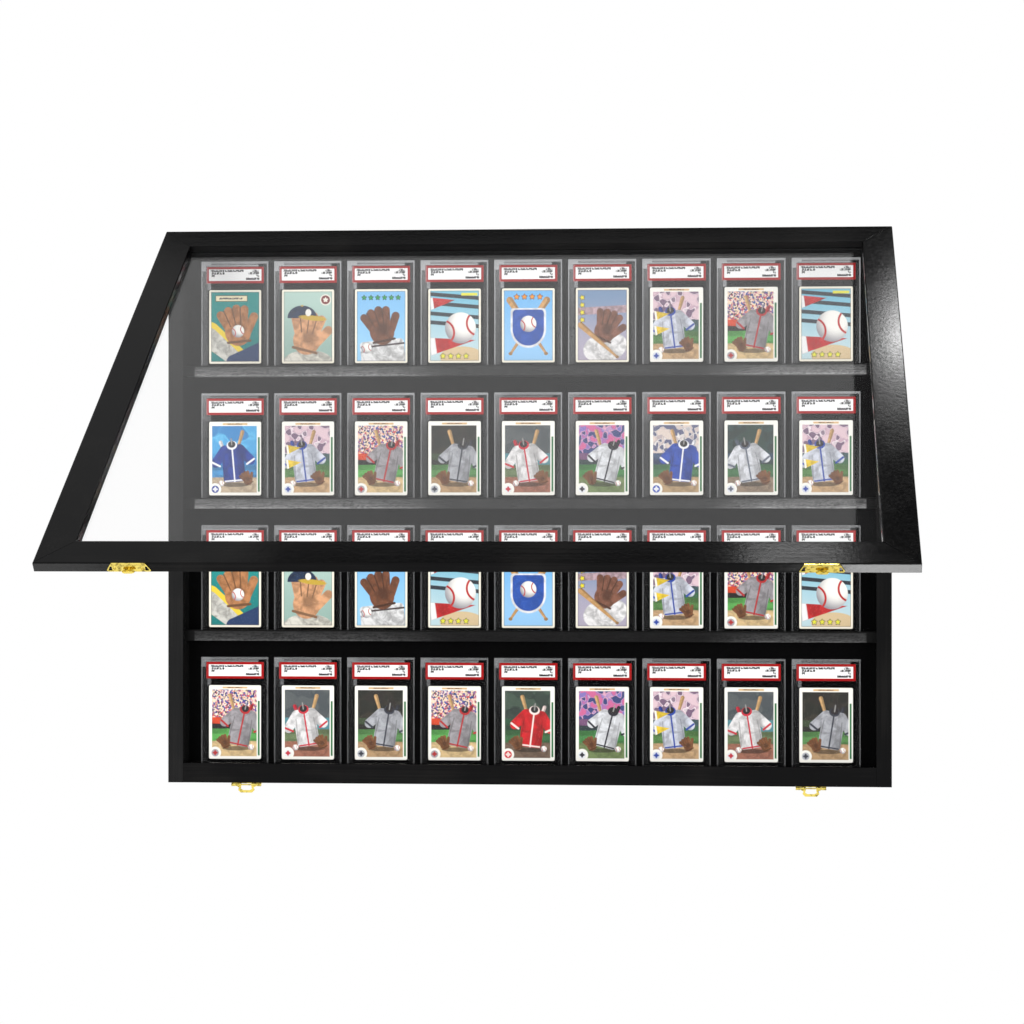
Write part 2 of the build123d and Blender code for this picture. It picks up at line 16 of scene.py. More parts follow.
import bmesh
import bpy
import numpy as np
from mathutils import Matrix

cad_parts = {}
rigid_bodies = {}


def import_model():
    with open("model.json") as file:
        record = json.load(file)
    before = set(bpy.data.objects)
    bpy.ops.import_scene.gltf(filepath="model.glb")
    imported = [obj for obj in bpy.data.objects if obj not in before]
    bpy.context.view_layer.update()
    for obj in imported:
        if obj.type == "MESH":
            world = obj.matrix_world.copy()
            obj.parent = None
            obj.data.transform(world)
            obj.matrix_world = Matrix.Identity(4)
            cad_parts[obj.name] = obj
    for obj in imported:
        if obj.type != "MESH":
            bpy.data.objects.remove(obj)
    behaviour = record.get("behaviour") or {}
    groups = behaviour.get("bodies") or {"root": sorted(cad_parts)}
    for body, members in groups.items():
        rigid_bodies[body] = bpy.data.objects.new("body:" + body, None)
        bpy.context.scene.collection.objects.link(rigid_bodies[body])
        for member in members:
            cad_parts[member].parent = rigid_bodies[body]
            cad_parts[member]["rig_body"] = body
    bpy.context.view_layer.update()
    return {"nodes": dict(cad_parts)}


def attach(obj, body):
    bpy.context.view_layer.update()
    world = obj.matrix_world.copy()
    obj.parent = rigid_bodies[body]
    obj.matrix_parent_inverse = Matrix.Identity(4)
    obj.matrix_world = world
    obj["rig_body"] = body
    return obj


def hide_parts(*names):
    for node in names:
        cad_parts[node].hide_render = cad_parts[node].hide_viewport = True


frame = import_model()

LOG = logging.getLogger("display_case")
MM = 0.001
SWING = math.radians(53.5)  # how far the door is open
ROD_ANGLE = 50.0  # a pin's edges that bend less than this, in degrees, stay as they are
# Sizes in millimetres, and the tops of the lips that the slabs stand behind, from the top row down.
SLAB_WIDE, SLAB_TALL = 81.5, 136.5
CARD_WIDE, CARD_TALL = 63.5, 88.9
LABEL_WIDE, LABEL_TALL = 70.0, 19.9
LIP_TOPS = (-89.5, -248.5, -407.5, -566.5)
Colour = tuple[float, float, float]
Value = Union["Signal", float]
Material = bpy.types.Material
Object = bpy.types.Object


def shade(red: int, green: int, blue: int) -> Colour:
    """A linear colour from screen values of 0 to 255, by the screen's power curve."""
    return tuple(
        c / 3294.6 if c <= 10 else ((c / 255 + 0.055) / 1.055) ** 2.4 for c in (red, green, blue)
    )


def shades(values: str) -> tuple[Colour, ...]:
    """Linear colours from six-digit hex screen values with spaces between them."""
    return tuple(shade(*bytes.fromhex(value)) for value in values.split())


# ---------------------------------------------------------------- shader maths


class Signal:
    """A shader socket that takes part in Python arithmetic, one Math node per operation."""

    def __init__(self, recipe: "Recipe", socket: bpy.types.NodeSocket) -> None:
        """Wraps a socket.

        Args:
            recipe: the material that the socket's node is in.
            socket: the output socket.
        """
        self.recipe = recipe
        self.socket = socket

    def math(self, operation: str, *others: Value) -> "Signal":
        """One Math node with this signal as its first value.

        Args:
            operation: the Math node's operation.
            others: the values after the first.

        Returns:
            The node's result.
        """
        values = dict(enumerate((self, *others)))
        return self.recipe.node("ShaderNodeMath", {"operation": operation}, values)

    def __add__(self, other: Value) -> "Signal":
        """This plus other."""
        return self.math("ADD", other)

    __radd__ = __add__

    def __mul__(self, other: Value) -> "Signal":
        """This times other."""
        return self.math("MULTIPLY", other)

    __rmul__ = __mul__

    def __sub__(self, other: Value) -> "Signal":
        """This minus other."""
        return self.math("SUBTRACT", other)

    def __rsub__(self, other: float) -> "Signal":
        """A number minus this."""
        return self.recipe.node("ShaderNodeMath", {"operation": "SUBTRACT"}, {0: other, 1: self})

    def __truediv__(self, other: Value) -> "Signal":
        """This over other."""
        return self.math("DIVIDE", other)

    def __pow__(self, other: Value) -> "Signal":
        """This to the power of other."""
        return self.math("POWER", other)

    def __abs__(self) -> "Signal":
        """This without its sign."""
        return self.math("ABSOLUTE")

    def __neg__(self) -> "Signal":
        """This with its sign turned."""
        return self * -1.0

    def most(self, other: Value) -> "Signal":
        """The larger of the two."""
        return self.math("MAXIMUM", other)

    def rise(self, low: float, high: float) -> "Signal":
        """A smooth step from 0 at low to 1 at high, or the reverse where low is above high.

        Args:
            low: where the step starts.
            high: where the step ends.

        Returns:
            The step as a mask.
        """
        ends = {"Value": self, "From Min": low, "From Max": high}
        return self.recipe.node("ShaderNodeMapRange", {"interpolation_type": "SMOOTHSTEP"}, ends)

    def inside(self, low: float, high: float, soft: float) -> "Signal":
        """A mask of where this lies between low and high, with soft borders."""
        return self.rise(low - soft, low + soft) * self.rise(high + soft, high - soft)


class Recipe:
    """A material or a world while its nodes are being laid."""

    def __init__(self, name: str, store: Any = None) -> None:
        """Starts an empty material, or an empty one of what the store holds.

        Args:
            name: its name.
            store: the file's worlds, where it is one of them.
        """
        self.owner = (bpy.data.materials if store is None else store).new(name)
        self.owner.use_nodes = True
        self.tree = self.owner.node_tree
        self.tree.nodes.clear()

    def node(
        self,
        kind: str,
        settings: Mapping[str, Any] | None = None,
        inputs: Mapping[int | str, Any] | None = None,
        output: int | str = 0,
    ) -> Signal:
        """Adds a node.

        Args:
            kind: the node's type.
            settings: its properties, set before its sockets. "stops" has a ramp's (place, colour) pairs.
            inputs: socket name or number to a value or a signal.
            output: the name or number of the output to hand back.

        Returns:
            That output.
        """
        made = self.tree.nodes.new(kind)
        for key, value in (settings or {}).items():
            if key == "stops":
                self.set_stops(made.color_ramp, value)
            else:
                setattr(made, key, value)
        for key, value in (inputs or {}).items():
            socket = made.inputs[key]
            if isinstance(value, Signal):
                self.tree.links.new(value.socket, socket)
            elif socket.type == "RGBA":
                socket.default_value = (*value, 1.0)
            else:
                socket.default_value = value
        return Signal(self, made.outputs[output]) if made.outputs else Signal(self, made.inputs[0])

    @staticmethod
    def set_stops(ramp: bpy.types.ColorRamp, stops: Sequence[tuple[float, Colour]]) -> None:
        """Writes a colour ramp's stops, which number two or more."""
        while len(ramp.elements) < len(stops):
            ramp.elements.new(0.5)
        for element, (place, colour) in zip(ramp.elements, stops):
            element.position = place
            element.color = (*colour, 1.0)

    def place(self, turn: Colour = (0, 0, 0), stretch: Colour = (1, 1, 1)) -> Signal:
        """Object coordinates, turned about the origin and then stretched.

        Args:
            turn: angles about X, Y and Z, in radians.
            stretch: the scale along each turned axis.

        Returns:
            The coordinates as a vector.
        """
        here = self.node("ShaderNodeTexCoord", output="Object")
        turned = self.node("ShaderNodeMapping", None, {"Vector": here, "Rotation": turn})
        return self.node("ShaderNodeMapping", None, {"Vector": turned, "Scale": stretch})

    def axes(self, vector: Signal) -> tuple[Signal, Signal, Signal]:
        """The three numbers of a vector."""
        split = self.node("ShaderNodeSeparateXYZ", None, {0: vector})
        outputs = split.socket.node.outputs
        return split, Signal(self, outputs[1]), Signal(self, outputs[2])

    def noise(
        self, at: Signal, scale: float, detail: float = 2.0, rough: float = 0.5, warp: float = 0.0
    ) -> Signal:
        """Soft noise from 0 to 1.

        Args:
            at: the coordinates.
            scale: how many waves to a unit.
            detail: how many finer layers.
            rough: the strength of the finer layers.
            warp: how far the noise bends its own coordinates.

        Returns:
            The noise as a value.
        """
        inputs = {"Vector": at, "Scale": scale, "Detail": detail, "Roughness": rough, "Distortion": warp}
        return self.node("ShaderNodeTexNoise", None, inputs)

    def tint(self, mask: Value, low: Any, high: Any) -> Signal:
        """A colour that goes from low to high with a mask."""
        return self.node("ShaderNodeMix", {"data_type": "RGBA"}, {0: mask, 6: low, 7: high}, 2)

    def bump(self, height: Signal, strength: float, distance: float) -> Signal:
        """A normal tilted by a height map.

        Args:
            height: the height, from 0 to 1.
            strength: the share of the tilt that is kept.
            distance: what a height of 1 stands for, in metres.

        Returns:
            The normal.
        """
        inputs = {"Height": height, "Strength": strength, "Distance": distance}
        return self.node("ShaderNodeBump", None, inputs)

    def surface(self, **inputs: Any) -> Signal:
        """A Principled shader, with _ for the spaces of its sockets' names."""
        named = {key.replace("_", " "): value for key, value in inputs.items()}
        return self.node("ShaderNodeBsdfPrincipled", None, named)

    def blend(self, mask: Value, first: Signal, second: Signal) -> Signal:
        """A shader that goes from first to second with a mask."""
        return self.node("ShaderNodeMixShader", None, {0: mask, 1: first, 2: second})

    def finish(self, shader: Signal, output: str = "ShaderNodeOutputMaterial") -> Any:
        """Closes the material or the world with the shader that is its surface."""
        self.node(output, None, {"Surface": shader})
        return self.owner


# ---------------------------------------------------------------- finishes


@dataclass(frozen=True)
class Finish:
    """A named finish. Each kind lays its own nodes."""

    name: str

    def material(self) -> Material:
        """Makes the material."""
        recipe = Recipe(self.name)
        return recipe.finish(self.shader(recipe))

    def shader(self, recipe: Recipe) -> Signal:
        """Lays the nodes and returns the shader that is the surface."""
        raise NotImplementedError


class Grain(Enum):
    """Which way the wood's fibres run."""

    ALONG_X = "x"
    ALONG_Z = "z"
    ALONG_STILE = "stile"


@dataclass(frozen=True)
class BlackPaint(Finish):
    """Satin black paint over open-grained wood.

    Fibres are noise stretched 60 to 1 along the wood. They show as fine ridges among small pits and as a
    slight change in the paint's shine. Broad cloudy patches of thinner paint are a little browner.
    """

    grain: Grain
    dark: Colour = (0.0028, 0.0028, 0.0030)
    worn: Colour = (0.0072, 0.0068, 0.0066)
    shine: tuple[float, float] = (0.10, 0.19)
    relief: float = 0.00010

    def shader(self, recipe: Recipe) -> Signal:
        """Lays the nodes and returns the shader."""
        turn = (-SWING if self.grain is Grain.ALONG_STILE else 0.0, 0.0, 0.0)
        stretch = (1.0, 60.0, 60.0) if self.grain is Grain.ALONG_X else (60.0, 60.0, 1.0)
        along = recipe.place(turn, stretch)
        fibre = recipe.noise(along, 7.0, 4.0, 0.55, 0.25)
        pore = recipe.noise(along, 26.0, 2.0, 0.5)
        cloud = recipe.noise(recipe.place(), 9.0, 3.0, 0.55)
        pit = recipe.noise(recipe.place(), 230.0, 2.0, 0.55)
        ridges = fibre * 0.3 + pore * 0.1 + pit * 0.9
        brown = (cloud * 0.6 + fibre * 0.4).rise(0.46, 0.66)
        low, high = self.shine
        gloss = low + (high - low) * (fibre * 0.35 + cloud * 0.35 + pit * 0.3).rise(0.3, 0.7)
        return recipe.surface(
            Base_Color=recipe.tint(brown, self.dark, self.worn),
            Roughness=gloss,
            Normal=recipe.bump(ridges, 0.6, self.relief),
            Specular_IOR_Level=0.075,
        )


@dataclass(frozen=True)
class RubbedAndLitPaint(Finish):
    """The shelves' thinner paint: a grey, partly worn where hands reach in and partly painted sheen.

    The grey is palest towards the ends and most of all towards the lower arris. The lip's top edge and
    its ends keep a black that is painted shade. Below the top edge the paleness towards the ends grows
    with the drop below the top, and is strongest in the last two millimetres. In the middle it is even.
    The tones are how pale the grey is in the middle, and on the arris towards the ends.
    """

    top: float
    tones: tuple[float, float]
    # How far from the middle the lip is free of the painted shade at its ends.
    unshaded_half: float = 403.6 * MM
    black: Colour = (0.005, 0.005, 0.005)

    def shader(self, recipe: Recipe) -> Signal:
        """Lays the nodes and returns the shader."""
        along = recipe.place((0, 0, 0), (1.0, 22.0, 22.0))
        fibre = recipe.noise(along, 60.0, 4.0, 0.65, 0.2)
        fleck = recipe.noise(recipe.place((0, 0.25, 0), (340.0, 900.0, 700.0)), 1.0, 3.0, 0.7, 0.5)
        x, _, z = recipe.axes(recipe.place())
        drop = (self.top - z) / MM
        # Painted shade: the lip keeps its black along its top edge and at its ends, past unshaded_half.
        rubbed_and_lit = abs(x).rise(self.unshaded_half, self.unshaded_half - 0.002) * drop.rise(0.8, 2.2)
        # Paler down the lip towards the lower arris and towards the ends: partly wear, partly painted
        # sheen.
        worn = 0.25 + 0.38 * drop.rise(0.0, 13.0) + 0.37 * drop.rise(10.2, 11.6)
        handled_and_sheen = (x.rise(-0.08, -0.20) * 0.8).most(x.rise(0.20, 0.30)) * worn
        speckle = (fibre * 0.5 + fleck * 0.5).rise(0.28, 0.74)
        middle, ends = self.tones
        pale = recipe.tint(handled_and_sheen, (middle,) * 3, (ends,) * 3)
        grey = recipe.tint(speckle, (0.005, 0.005, 0.0053), pale)
        return recipe.surface(
            Base_Color=recipe.tint(rubbed_and_lit, self.black, grey),
            Roughness=0.42 + 0.2 * fleck,
            Normal=recipe.bump(fibre * 0.5 + fleck * 0.5, 0.4, 0.0001),
            Specular_IOR_Level=0.08,
        )


@dataclass(frozen=True)
class Felt(Finish):
    """Short black felt: fibres in every direction, with a soft pile that catches grazing light."""

    dark: Colour = (0.0008, 0.0008, 0.0009)
    light: Colour = (0.0032, 0.0032, 0.0034)

    def shader(self, recipe: Recipe) -> Signal:
        """Lays the nodes and returns the shader."""
        here = recipe.place()
        matted = recipe.noise(here, 900.0, 4.0, 0.7, 1.2)
        lint = recipe.noise(recipe.place((0, 0.7, 0), (260.0, 260.0, 1900.0)), 1.0, 2.0, 0.6, 0.8)
        mask = (matted * 0.6 + lint * 0.4).rise(0.42, 0.68)
        return recipe.surface(
            Base_Color=recipe.tint(mask, self.dark, self.light),
            Roughness=0.95,
            Normal=recipe.bump(matted, 0.4, 0.0001),
            Sheen_Weight=0.02,
            Sheen_Roughness=0.6,
            Specular_IOR_Level=0.06,
        )


@dataclass(frozen=True)
class Hardboard(Finish):
    """Black-dyed hardboard: a pressed mesh of fine squares under flecks of brown fibre."""

    mesh_pitch: float = 0.0014
    dark: Colour = (0.012, 0.011, 0.010)
    fleck: Colour = (0.035, 0.027, 0.019)

    def shader(self, recipe: Recipe) -> Signal:
        """Lays the nodes and returns the shader."""
        x, _, z = recipe.axes(recipe.place())
        turns = 2 * math.pi / self.mesh_pitch
        weave = (x * turns).math("SINE") * (z * turns).math("SINE")
        flecks = recipe.noise(recipe.place((0, 0.5, 0), (1.0, 1.0, 3.0)), 420.0, 3.0, 0.7, 1.0)
        return recipe.surface(
            Base_Color=recipe.tint(flecks.rise(0.56, 0.7), self.dark, self.fleck),
            Roughness=0.55 + flecks * 0.25,
            Normal=recipe.bump(weave * 0.5 + 0.5, 0.5, 0.00012),
        )


@dataclass(frozen=True)
class Beech(Finish):
    """Raw pale beech with its short brown rays."""

    pale: Colour = (0.50, 0.33, 0.18)
    brown: Colour = (0.30, 0.17, 0.085)

    def shader(self, recipe: Recipe) -> Signal:
        """Lays the nodes and returns the shader."""
        rays = recipe.noise(recipe.place((0, 0, 0), (300.0, 1500.0, 90.0)), 1.0, 3.0, 0.6)
        return recipe.surface(
            Base_Color=recipe.tint(rays.rise(0.45, 0.72), self.pale, self.brown),
            Roughness=0.7,
            Normal=recipe.bump(rays, 0.4, 0.0001),
        )


@dataclass(frozen=True)
class PlatedMetal(Finish):
    """A bright plating over a pressed part: drawing lines, faint stains, and duller worn patches."""

    bright: Colour
    stain: Colour
    shine: tuple[float, float] = (0.16, 0.34)

    def shader(self, recipe: Recipe) -> Signal:
        """Lays the nodes and returns the shader."""
        lines = recipe.noise(recipe.place((0, 0, 0), (120.0, 5200.0, 5200.0)), 1.0, 2.0, 0.6)
        cloud = recipe.noise(recipe.place(), 260.0, 3.0, 0.6)
        low, high = self.shine
        return recipe.surface(
            Base_Color=recipe.tint(cloud.rise(0.46, 0.70), self.bright, self.stain),
            Metallic=1.0,
            Roughness=low + (high - low) * cloud.rise(0.3, 0.75),
            Normal=recipe.bump(lines, 0.25, 0.00003),
        )


@dataclass(frozen=True)
class Acrylic(Finish):
    """Thin clear acrylic: see-through, with a mirror over it and a faint milky veil of fine scuffs."""

    veil: float
    haze: Colour = (0.80, 0.81, 0.82)
    straight: float = 0.020
    rough: float = 0.03

    def shader(self, recipe: Recipe) -> Signal:
        """Lays the nodes and returns the shader."""
        clear = recipe.node("ShaderNodeBsdfTransparent", None, {"Color": (0.99, 0.99, 0.99)})
        scuffs = recipe.noise(recipe.place((0.3, 0, 0.4), (30.0, 30.0, 500.0)), 1.0, 3.0, 0.6, 0.4)
        dust = recipe.noise(recipe.place(), 3.0, 2.0, 0.5)
        cloudy = self.veil * (0.8 + 0.25 * scuffs + 0.15 * dust)
        milk = recipe.node("ShaderNodeBsdfDiffuse", None, {"Color": self.haze})
        return mirrored(recipe, recipe.blend(cloudy, clear, milk), self.straight, self.rough)


@dataclass(frozen=True)
class ShellPlastic(Finish):
    """A moulded slab shell: clear windows, and frosted ribs drawn on the shell's own map.

    The map's unit is the slab's height, with its zero at the middle of the foot. The rim's frost is
    given at mid-height and at the top. A shell without ribs has the same faint frost all over.
    """

    rim_frost: tuple[float, float] = (0.0, 0.0)
    # The strength of the painted highlight along the sides.
    side_highlight: float = 0.0
    band_frost: float = 0.0
    block_frost: float = 0.0
    frost: Colour = (0.80, 0.81, 0.83)
    thickest: float = 0.42
    plain_frost: float = 0.004
    straight: float = 0.0012
    rough: float = 0.08

    def shader(self, recipe: Recipe) -> Signal:
        """Lays the nodes and returns the shader."""
        clear = recipe.node("ShaderNodeBsdfTransparent", None, {"Color": (0.985, 0.985, 0.985)})
        matt = recipe.node("ShaderNodeBsdfDiffuse", None, {"Color": self.frost})
        grit = recipe.noise(recipe.place(), 700.0, 3.0, 0.6)
        cover = (self.ribs(recipe) if self.block_frost else self.plain_frost) * (0.92 + 0.16 * grit)
        body = recipe.blend(cover * self.thickest, clear, matt)
        return mirrored(recipe, body, self.straight, self.rough)

    def ribs(self, recipe: Recipe) -> Signal:
        """The frosted ribs: the rim, the band and corner block above the label, and a bar beside it,
        with pale bands of frost along the sides that are a painted highlight.

        Millimetres are counted from the slab's left edge and from its top.

        Args:
            recipe: the material.

        Returns:
            The frost, from 0 to 1.
        """
        u, v, _ = recipe.axes(recipe.node("ShaderNodeUVMap", {"uv_map": "Print"}))
        x, top = u * SLAB_TALL + SLAB_WIDE / 2, (1.0 - v) * SLAB_TALL
        soft = 0.35
        low, high = self.rim_frost
        inner = x.inside(1.4, SLAB_WIDE - 1.6, soft) * top.rise(2.4, 3.0)
        rim = (1 - inner) * (low + (high - low) * top.rise(60.0, -10.0))
        band = top.inside(2.6, 5.9, soft) * x.inside(1.4, 69.5, soft)
        band = band * (1.0 + top.rise(4.2, 5.0)) * self.band_frost
        block = x.inside(-1.0, 11.9, soft) * top.inside(-1.0, 11.9, soft) * self.block_frost
        block = block * (1 - x.rise(5.2, 5.8) * top.rise(5.6, 6.2))
        bar = x.inside(7.3, 11.6, soft) * top.inside(26.0, 34.0, soft) * (0.6 * self.block_frost)
        # Painted highlight: a pale band of frost down each side, strongest on the left and towards the
        # top.
        left = x.inside(1.4, 7.4, soft) * (1.0 + 1.6 * top.rise(70.0, 0.0)) * self.side_highlight
        right = x.inside(75.5, 79.9, soft) * (0.6 * self.side_highlight)
        return rim.most(band).most(block).most(bar).most(left).most(right)


def mirrored(recipe: Recipe, body: Signal, straight: float, rough: float) -> Signal:
    """Lays a mirror over a clear body: a share seen straight on, and the rest by the fifth power.

    It reads the same from inside and outside, as a thin sheet does.

    Args:
        recipe: the material.
        body: the shader under the mirror.
        straight: the mirror's share seen straight on.
        rough: how much the mirror blurs.

    Returns:
        The whole shader.
    """
    mirror = {"Color": (1.0, 1.0, 1.0), "Roughness": rough}
    glossy = recipe.node("ShaderNodeBsdfAnisotropic", None, mirror)
    facing = recipe.node("ShaderNodeLayerWeight", None, {"Blend": 0.5}, "Facing")
    return recipe.blend(facing**5.0 * (1.0 - straight) + straight, body, glossy)


# ---------------------------------------------------------------- printed paper


class Sketch:
    """A flat picture built up in layers on a piece's own map, whose unit is the height of the paper."""

    def __init__(self, recipe: Recipe, ground: Any) -> None:
        """Starts with bare ground.

        Args:
            recipe: the material.
            ground: the colour of the paper, or a signal.
        """
        self.recipe = recipe
        self.spot = recipe.node("ShaderNodeUVMap", {"uv_map": "Print"})
        _, self.height, _ = recipe.axes(self.spot)
        self.colour = ground
        self.soft = 0.005

    def lay(self, mask: Value, colour: Any) -> None:
        """Paints a colour, or a signal, where the mask is 1."""
        self.colour = self.recipe.tint(mask, self.colour, colour)

    def mottled(self, light: Colour, share: float = 0.5, scale: float = 9.0) -> Signal:
        """A colour and its darker tone in soft folds, as cloth or leather has in a printed picture."""
        folds = self.recipe.noise(self.spot, scale, 5.0, 0.6, 0.6).rise(0.36, 0.64)
        return self.recipe.tint(folds, tuple(c * share for c in light), light)

    def about(
        self, x: float, y: float, turn: float = 0.0, wide: float = 1.0, tall: float = 1.0
    ) -> Signal:
        """Coordinates about a point, turned by an angle in degrees and counted in half widths."""
        settings = {
            "Vector": self.spot,
            "Location": (x, y, 0.0),
            "Rotation": (0.0, 0.0, math.radians(turn)),
            "Scale": (wide, tall, 1.0),
        }
        return self.recipe.node("ShaderNodeMapping", {"vector_type": "TEXTURE"}, settings)

    def vector(
        self, operation: str, first: Any, second: Any = (0.0, 0.0, 0.0), output: int = 0
    ) -> Signal:
        """One Vector Math node, whose output 1 is a number."""
        return self.recipe.node(
            "ShaderNodeVectorMath", {"operation": operation}, {0: first, 1: second}, output
        )

    def reach(self, x: float, y: float, turn: float, wide: float, tall: float) -> Signal:
        """The distance from a point, counted in half widths."""
        return self.vector("LENGTH", self.about(x, y, turn, wide, tall), output=1)

    def oval(self, x: float, y: float, wide: float, tall: float, turn: float = 0.0) -> Signal:
        """An ellipse: the distance from its middle, counted in half widths, is under 1."""
        soft = self.soft / min(wide, tall)
        return self.reach(x, y, turn, wide, tall).rise(1 + soft, 1 - soft)

    def slab(
        self, x: float, y: float, wide: float, tall: float, turn: float = 0.0, round_: float = 0.0
    ) -> Signal:
        """A rectangle with round corners: what is past the inner rectangle is under the radius."""
        round_ = max(round_, self.soft)
        past = self.vector("ABSOLUTE", self.about(x, y, turn))
        past = self.vector("SUBTRACT", past, (wide - round_, tall - round_, 9.0))
        reach = self.vector("LENGTH", self.vector("MAXIMUM", past), output=1)
        return reach.rise(round_ + self.soft, round_ - self.soft)

    def bar(
        self, start: tuple[float, float], end: tuple[float, float], thick: float, thin: float = 0.0
    ) -> Signal:
        """A stroke: the distance to a line is under a half width, which may taper."""
        length = math.dist(start, end)
        turn = math.degrees(math.atan2(end[1] - start[1], end[0] - start[0]))
        here = self.about(*start, turn)
        nearest = self.vector("MINIMUM", self.vector("MAXIMUM", here), (length, 0.0, 0.0))
        away = self.vector("DISTANCE", here, nearest, 1)
        if thin > 0:
            away = away + self.vector("DOT_PRODUCT", nearest, ((thick - thin) / length, 0.0, 0.0), 1)
        return away.rise(thick + self.soft, thick - self.soft)

    def stars(
        self, x: float, y: float, size: float, rim: Colour, fill: Colour,
        count: int = 1, pitch: float = 0.1, points: int = 5, turn: float = 0.0,
    ) -> None:
        """A row of stars: a radius that falls and rises with the angle, wrapped along the row."""
        half = pitch * count / 2
        away = math.radians(turn)
        here = self.about(x - half * math.cos(away), y - half * math.sin(away), turn)
        along, up, _ = self.recipe.axes(here)
        wrapped = (along - pitch / 2).math("WRAP", pitch / 2, -pitch / 2)
        angle = self.recipe.node("ShaderNodeMath", {"operation": "ARCTAN2"}, {0: wrapped, 1: up})
        wave = (angle * (points / math.tau)).math("PINGPONG", 0.5)
        flat = self.recipe.node("ShaderNodeCombineXYZ", None, {0: wrapped, 1: up})
        reach = self.vector("LENGTH", flat, output=1) + wave * (1.15 * size)
        within = along.rise(-0.001, 0.001) * along.rise(pitch * count + 0.001, pitch * count - 0.001)
        outer = size * 1.25
        self.lay(reach.rise(outer + self.soft, outer - self.soft) * within, rim)
        self.lay(reach.rise(size + self.soft, size - self.soft) * within, fill)

    def rows(self, places: Sequence[tuple[float, float, float]], half: float, pitch: float) -> Signal:
        """Rows of small dashes of uneven length, with no letters in them.

        A row is a band of height 2 half. Along it, a fast noise is cut off at its middle into dashes.

        Args:
            places: the start, the end and the height of each row.
            half: half the height of a row.
            pitch: the mean length of a dash and its gap.

        Returns:
            The dashes as a mask.
        """
        wide = {"Vector": self.spot, "Scale": (1.0 / pitch, 0.45 / half, 1.0)}
        fine = self.recipe.node("ShaderNodeMapping", None, wide)
        dashes = self.recipe.noise(fine, 1.0, 1.0, 0.7).rise(0.40, 0.47)
        total: Signal | None = None
        for start, end, height in places:
            row = self.slab((start + end) / 2, height, (end - start) / 2, half)
            total = row if total is None else total.most(row)
        return total * dashes

    def ball(self, x: float, y: float, size: float) -> None:
        """A white ball, shaded to its lower left, whose seams are rings about points at its sides."""
        whole = self.oval(x, y, size, size)
        lit = self.reach(x + size * 0.3, y + size * 0.4, 0.0, size, size)
        self.lay(whole, self.recipe.tint(lit.rise(0.5, 1.6), shade(248, 246, 240), shade(140, 138, 146)))
        side = self.vector("ABSOLUTE", self.about(x, y, 14.0, size, size))
        ring = self.vector("DISTANCE", side, (1.25, 0.0, 0.0), 1)
        self.lay(whole * abs(ring - 0.8).rise(0.09, 0.04), shade(186, 30, 32))

    def mitt(self, x: float, y: float, size: float, leather: Colour, turn: float = 0.0) -> None:
        """A leather glove: a palm, four fingers and a thumb, with a dark pocket, seams and a strap."""
        c, s = math.cos(math.radians(turn)), math.sin(math.radians(turn))
        dark = tuple(channel * 0.28 for channel in leather)

        def at(a: float, b: float) -> tuple[float, float]:
            """A place on the glove, in its own turned and scaled frame."""
            return x + size * (a * c - b * s), y + size * (a * s + b * c)

        whole = self.oval(*at(0.0, -0.12), size * 0.52, size * 0.56, turn)
        for fan in (-0.42, -0.16, 0.10, 0.34):
            whole = whole.most(
                self.bar(at(fan * 0.8, 0.1), at(fan * 1.3, 0.84 - abs(fan) * 0.4), size * 0.165)
            )
        whole = whole.most(self.bar(at(0.40, -0.15), at(0.76, 0.34), size * 0.17))
        self.lay(whole, self.mottled(leather, 0.55, 8.0))
        for fan in (-0.30, -0.03, 0.22):
            self.lay(self.bar(at(fan * 0.8, 0.15), at(fan * 1.3, 0.82), size * 0.024), dark)
        lit = self.reach(*at(0.06, -0.02), turn, size * 0.36, size * 0.4)
        self.lay(lit.rise(1.0, 0.3) * 0.75, dark)
        self.lay(self.bar(at(-0.48, -0.46), at(0.42, -0.56), size * 0.05), dark)

    def cap(self, x: float, y: float, size: float, crown: Colour, brim: Colour) -> None:
        """A peaked cap from the side: half an ellipse over a curved brim, with a button and a patch."""
        below = self.height.rise(y - 0.012, y)
        self.lay(self.oval(x, y, size, size * 0.82) * below, self.mottled(crown, 0.5, 12.0))
        self.lay(self.oval(x + size * 0.72, y - size * 0.03, size * 0.95, size * 0.17, -6.0), brim)
        self.lay(self.oval(x, y + size * 0.8, size * 0.09, size * 0.06), brim)
        self.lay(
            self.oval(x + size * 0.42, y + size * 0.34, size * 0.2, size * 0.24), shade(240, 238, 230)
        )

    def bat(
        self, start: tuple[float, float], end: tuple[float, float], fat: float, wood: Colour
    ) -> None:
        """A bat: a taper from its barrel to its handle, a knob, and a darker edge along one side."""
        whole = self.bar(start, end, fat, fat * 0.33)
        self.lay(whole, self.mottled(wood, 0.72, 16.0))
        nudge = fat * 0.9
        lit = self.bar((start[0] - nudge, start[1]), (end[0] - nudge, end[1]), fat)
        self.lay(whole * (1 - lit), tuple(c * 0.5 for c in wood))
        self.lay(self.oval(*end, fat * 0.6, fat * 0.5), tuple(c * 0.5 for c in wood))

    def pennant(self, x: float, y: float, wide: float, tall: float, cloth: Colour, edge: Colour) -> None:
        """A long triangular flag that points to the right, with a band at its hoist."""
        a, b, _ = self.recipe.axes(self.about(x, y, 8.0))
        past = (abs(b) + a * (tall / wide * 0.5) - tall * 0.5).most(-a)
        flag = past.rise(self.soft, -self.soft)
        self.lay(flag, self.mottled(cloth, 0.6, 7.0))
        self.lay(flag * a.rise(wide * 0.14, wide * 0.11), edge)

    def jersey(
        self, x: float, foot: float, lean: float, size: float, cloth: Colour, trim: Colour
    ) -> None:
        """A ball shirt on a hook, with two short sleeves, a round neck and a buttoned front."""
        s, c = math.sin(math.radians(lean)), math.cos(math.radians(lean))

        def at(a: float, b: float) -> tuple[float, float]:
            """A place on the shirt, in its own leaning and scaled frame."""
            return x + size * (a * c + b * s), foot + size * (b * c - a * s)

